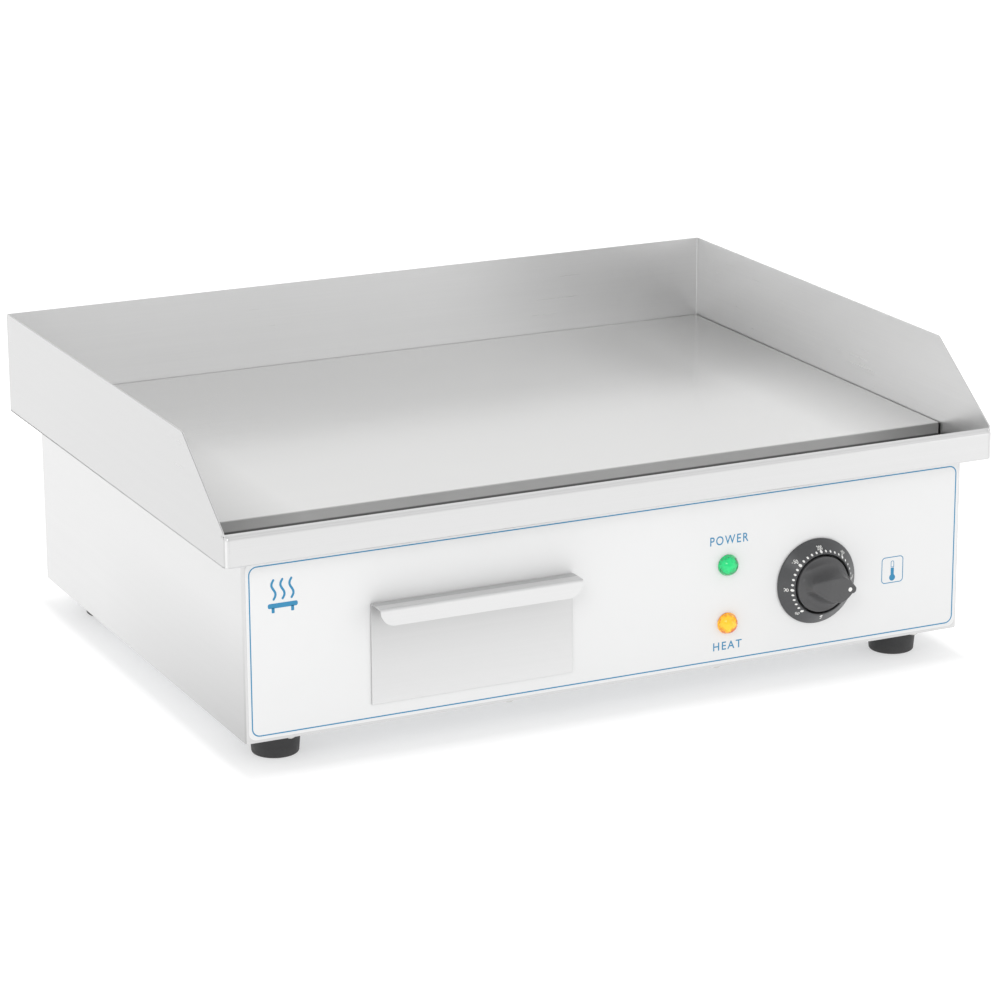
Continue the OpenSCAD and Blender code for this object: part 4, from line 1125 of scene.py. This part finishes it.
def drawer_face():
    """Front of the drawer, folded over into its handle."""
    lo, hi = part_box("drawer_front")
    rear = hi.y
    flange = rear - lo.y
    reach = FOLD_R * QUARTER
    top = hi.z - FOLD_R + reach + flange - 2 * FOLD_R + reach + HANDLE_H - FOLD_R
    corner = HANDLE_CORNER
    outline = [(lo.x, lo.z), (hi.x, lo.z)]
    outline += arc(hi.x - corner, top - corner, corner, 0, 90, 12)
    outline += arc(lo.x + corner, top - corner, corner, 90, 180, 12)
    work = upright(carve([outline], SHEET, 0.2 * MM), (0, rear - SHEET / 2, 0))
    fold(work, Vector((0, rear, hi.z - FOLD_R)), Z, -Y, FOLD_R)
    fold(work, Vector((0, lo.y + FOLD_R, hi.z)), -Y, -Z, FOLD_R)
    piece("drawer_face", work, "drawer_steel", "drawer", stands_for=["drawer_front"])


def drawer_tray():
    """Grease tray behind the front, folded from one sheet, with open corners."""
    lo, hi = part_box("drawer_box")
    radius = FOLD_R
    rise = hi.z - lo.z - radius + radius * QUARTER
    gap = 0.2 * MM
    x0, x1, y0, y1 = lo.x + radius, hi.x - radius, lo.y + radius, hi.y - radius
    outline = [
        (x0 + gap, y0),
        (x0 + gap, y0 - rise),
        (x1 - gap, y0 - rise),
        (x1 - gap, y0),
        (x1, y0 + gap),
        (x1 + rise, y0 + gap),
        (x1 + rise, y1 - gap),
        (x1, y1 - gap),
        (x1 - gap, y1),
        (x1 - gap, y1 + rise),
        (x0 + gap, y1 + rise),
        (x0 + gap, y1),
        (x0, y1 - gap),
        (x0 - rise, y1 - gap),
        (x0 - rise, y0 + gap),
        (x0, y0 + gap),
    ]
    work = put(carve([outline], SHEET, 0.15 * MM, 1), LEVEL, (0, 0, lo.z + SHEET / 2))
    for origin, along in (((x0, 0), -X), ((x1, 0), X), ((0, y0), -Y), ((0, y1), Y)):
        fold(work, Vector((*origin, lo.z)), along, Z, radius)
    piece("drawer_tray", work, "drawer_steel", "drawer", stands_for=["drawer_box"])


# ---- rear services


def cord_gland():
    """Hexagonal gland with a ribbed dome nut and its seal; the passage is open."""
    node = "cable_gland"
    lo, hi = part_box(node)
    centre = (middle(node).x, high("rear_panel").y, middle(node).z)
    across = (hi.x - lo.x) / 2
    bore = 5 * MM
    hexagon = circle(0, 0, across, 6)
    body = put(carve([hexagon, circle(0, 0, bore, 48)], 6 * MM, 0.5 * MM), Matrix.Translation((0, 0, 3 * MM)))
    ribs = []
    for i in range(24):
        for share, radius in ((0.1, 11.0), (0.25, 11.5), (0.75, 11.5), (0.9, 11.0)):
            angle = 2 * math.pi * (i + share) / 24
            ribs.append((radius * MM * math.cos(angle), radius * MM * math.sin(angle)))
    nut = put(carve([ribs, circle(0, 0, bore, 48)], 6 * MM, 0.3 * MM), Matrix.Translation((0, 0, 9 * MM)))
    dome = [(bore + 0.4 * MM, 12 * MM), (10.6 * MM, 12 * MM), (10.2 * MM, 13.5 * MM), (8.2 * MM, 17.8 * MM)]
    dome += [(7.6 * MM, 19 * MM), (bore + 0.9 * MM, 19 * MM), (bore + 0.4 * MM, 18.4 * MM)]
    thread = [(bore, -10 * MM), (9.6 * MM, -10 * MM), (9.95 * MM, -9.5 * MM), (9.95 * MM, 0), (bore, 0)]
    work = join(body, nut, lathe(dome, 96), lathe(thread, 64))
    put(work, FACE_REAR, centre)
    piece("cord_gland", work, "black_plastic", "cabinet", stands_for=[node])


# ---- the rest of the frame

SLOT_OF = {part["node"]: part["material_slot"] for part in frame["record"]["subparts"]}


def finish_frame():
    """Gives every CAD node that stays its own finish."""
    for node, part in frame["nodes"].items():
        for place in part.material_slots:
            place.material = MATERIALS[SLOT_OF[node]]


def build():
    make_materials()
    finish_frame()
    cooking_plate()
    tray_pan()
    splash_side("splash_left_wall", "splash_left")
    splash_side("splash_right_wall", "splash_right")
    splash_back()
    drain()
    cabinet_body()
    back_cover()
    bottom_cover()
    for node in FEET:
        foot(node)
    panel_film()
    frame_line()
    label("label_power", "POWER", 82 * MM, CABINET_Z + 86.9 * MM, 28.5 * MM, 6.1 * MM)
    label("label_heat", "HEAT", 81.6 * MM, CABINET_Z + 14 * MM, 21.4 * MM, 5.6 * MM)
    thermometer()
    hot_plate_sign()
    dial_bezel()
    dial_scale()
    control_knob()
    jewel("green_jewel", "lamp_lens_green", "green_lens")
    jewel("amber_jewel", "lamp_lens_amber", "amber_lens")
    drawer_face()
    drawer_tray()
    cord_gland()


# ---- studio


def floor():
    rim = circle(0, 0, 14.0, 96)
    mesh = bpy.data.meshes.new("floor")
    work = loft([[(x, y, z) for x, y in rim] for z in (-0.02, 0)])
    work.to_mesh(mesh)
    work.free()
    mesh.materials.append(MATERIALS["floor"])
    ground = bpy.data.objects.new("floor", mesh)
    bpy.context.scene.collection.objects.link(ground)


def camera():
    """Camera at the photograph's viewing angle."""
    azimuth, elevation, roll = math.radians(-25.50), math.radians(16.61), math.radians(-0.26)
    distance = 2.55455
    centre = (cad_low + cad_high) / 2
    target = Vector((centre.x + 0.01254, centre.y + 0.013, centre.z - 0.01635))
    right = Vector((math.cos(azimuth), math.sin(azimuth), 0))
    away = Vector((right.y, -right.x, 0))
    back = away * math.cos(elevation) + Z * math.sin(elevation)
    top = back.cross(right)
    right, top = (
        right * math.cos(roll) + top * math.sin(roll),
        top * math.cos(roll) - right * math.sin(roll),
    )
    data = bpy.data.cameras.new("camera")
    data.lens = 132.393
    data.sensor_width = 36
    data.clip_start, data.clip_end = 0.05, 60
    eye = bpy.data.objects.new("camera", data)
    turn = Matrix((right, top, back)).transposed().to_4x4()
    eye.matrix_world = Matrix.Translation(target + back * distance) @ turn
    bpy.context.scene.collection.objects.link(eye)
    bpy.context.scene.camera = eye


def softbox(name, place, aim, size, power):
    """Square soft light that faces a point."""
    data = bpy.data.lights.new(name, "AREA")
    data.size = size
    data.energy = power
    lamp = bpy.data.objects.new(name, data)
    lamp.location = place
    lamp.rotation_euler = (Vector(aim) - Vector(place)).to_track_quat("-Z", "Y").to_euler()
    bpy.context.scene.collection.objects.link(lamp)


# Directions in the white room: where from, how wide as two cosines, and how much brighter
ROOM = (
    (Vector((-0.43, 0.9, 0.1)), 0.84, 0.99, 0.55),
    (Vector((-0.41, -0.87, 0.29)), 0.72, 0.97, -0.24),
    (Vector((0, 0, 1)), 0.5, 1.0, -0.2),
)


def studio():
    """White room, darker overhead and on the camera's side, and two softboxes."""
    world = bpy.data.worlds.new("studio")
    world.use_nodes = True
    tree = world.node_tree
    background = tree.nodes["Background"]
    background.inputs["Color"].default_value = rgb(1, 1, 1)
    direction = tree.nodes.new("ShaderNodeTexCoord").outputs["Generated"]
    strength = tree.nodes.new("ShaderNodeValue").outputs[0]
    strength.default_value = 1.0
    for toward, start, end, change in ROOM:
        dot = tree.nodes.new("ShaderNodeVectorMath")
        dot.operation = "DOT_PRODUCT"
        tree.links.new(direction, dot.inputs[0])
        dot.inputs[1].default_value = toward.normalized()
        lobe = tree.nodes.new("ShaderNodeMapRange")
        lobe.interpolation_type = "SMOOTHSTEP"
        for key, value in (("From Min", start), ("From Max", end), ("To Min", 0.0), ("To Max", change)):
            lobe.inputs[key].default_value = value
        tree.links.new(dot.outputs["Value"], lobe.inputs["Value"])
        both = tree.nodes.new("ShaderNodeMath")
        tree.links.new(strength, both.inputs[0])
        tree.links.new(lobe.outputs["Result"], both.inputs[1])
        strength = both.outputs[0]
    tree.links.new(strength, background.inputs["Strength"])
    bpy.context.scene.world = world
    softbox("front_right", (1.9, -2.2, 0.5), (0.1, 0, 0.1), 0.8, 2)
    softbox("front_left", (-1.5, -2.0, 1.6), (0, 0, 0.1), 0.8, 8)
    bpy.context.scene.view_settings.view_transform = "Standard"


build()
floor()
camera()
studio()
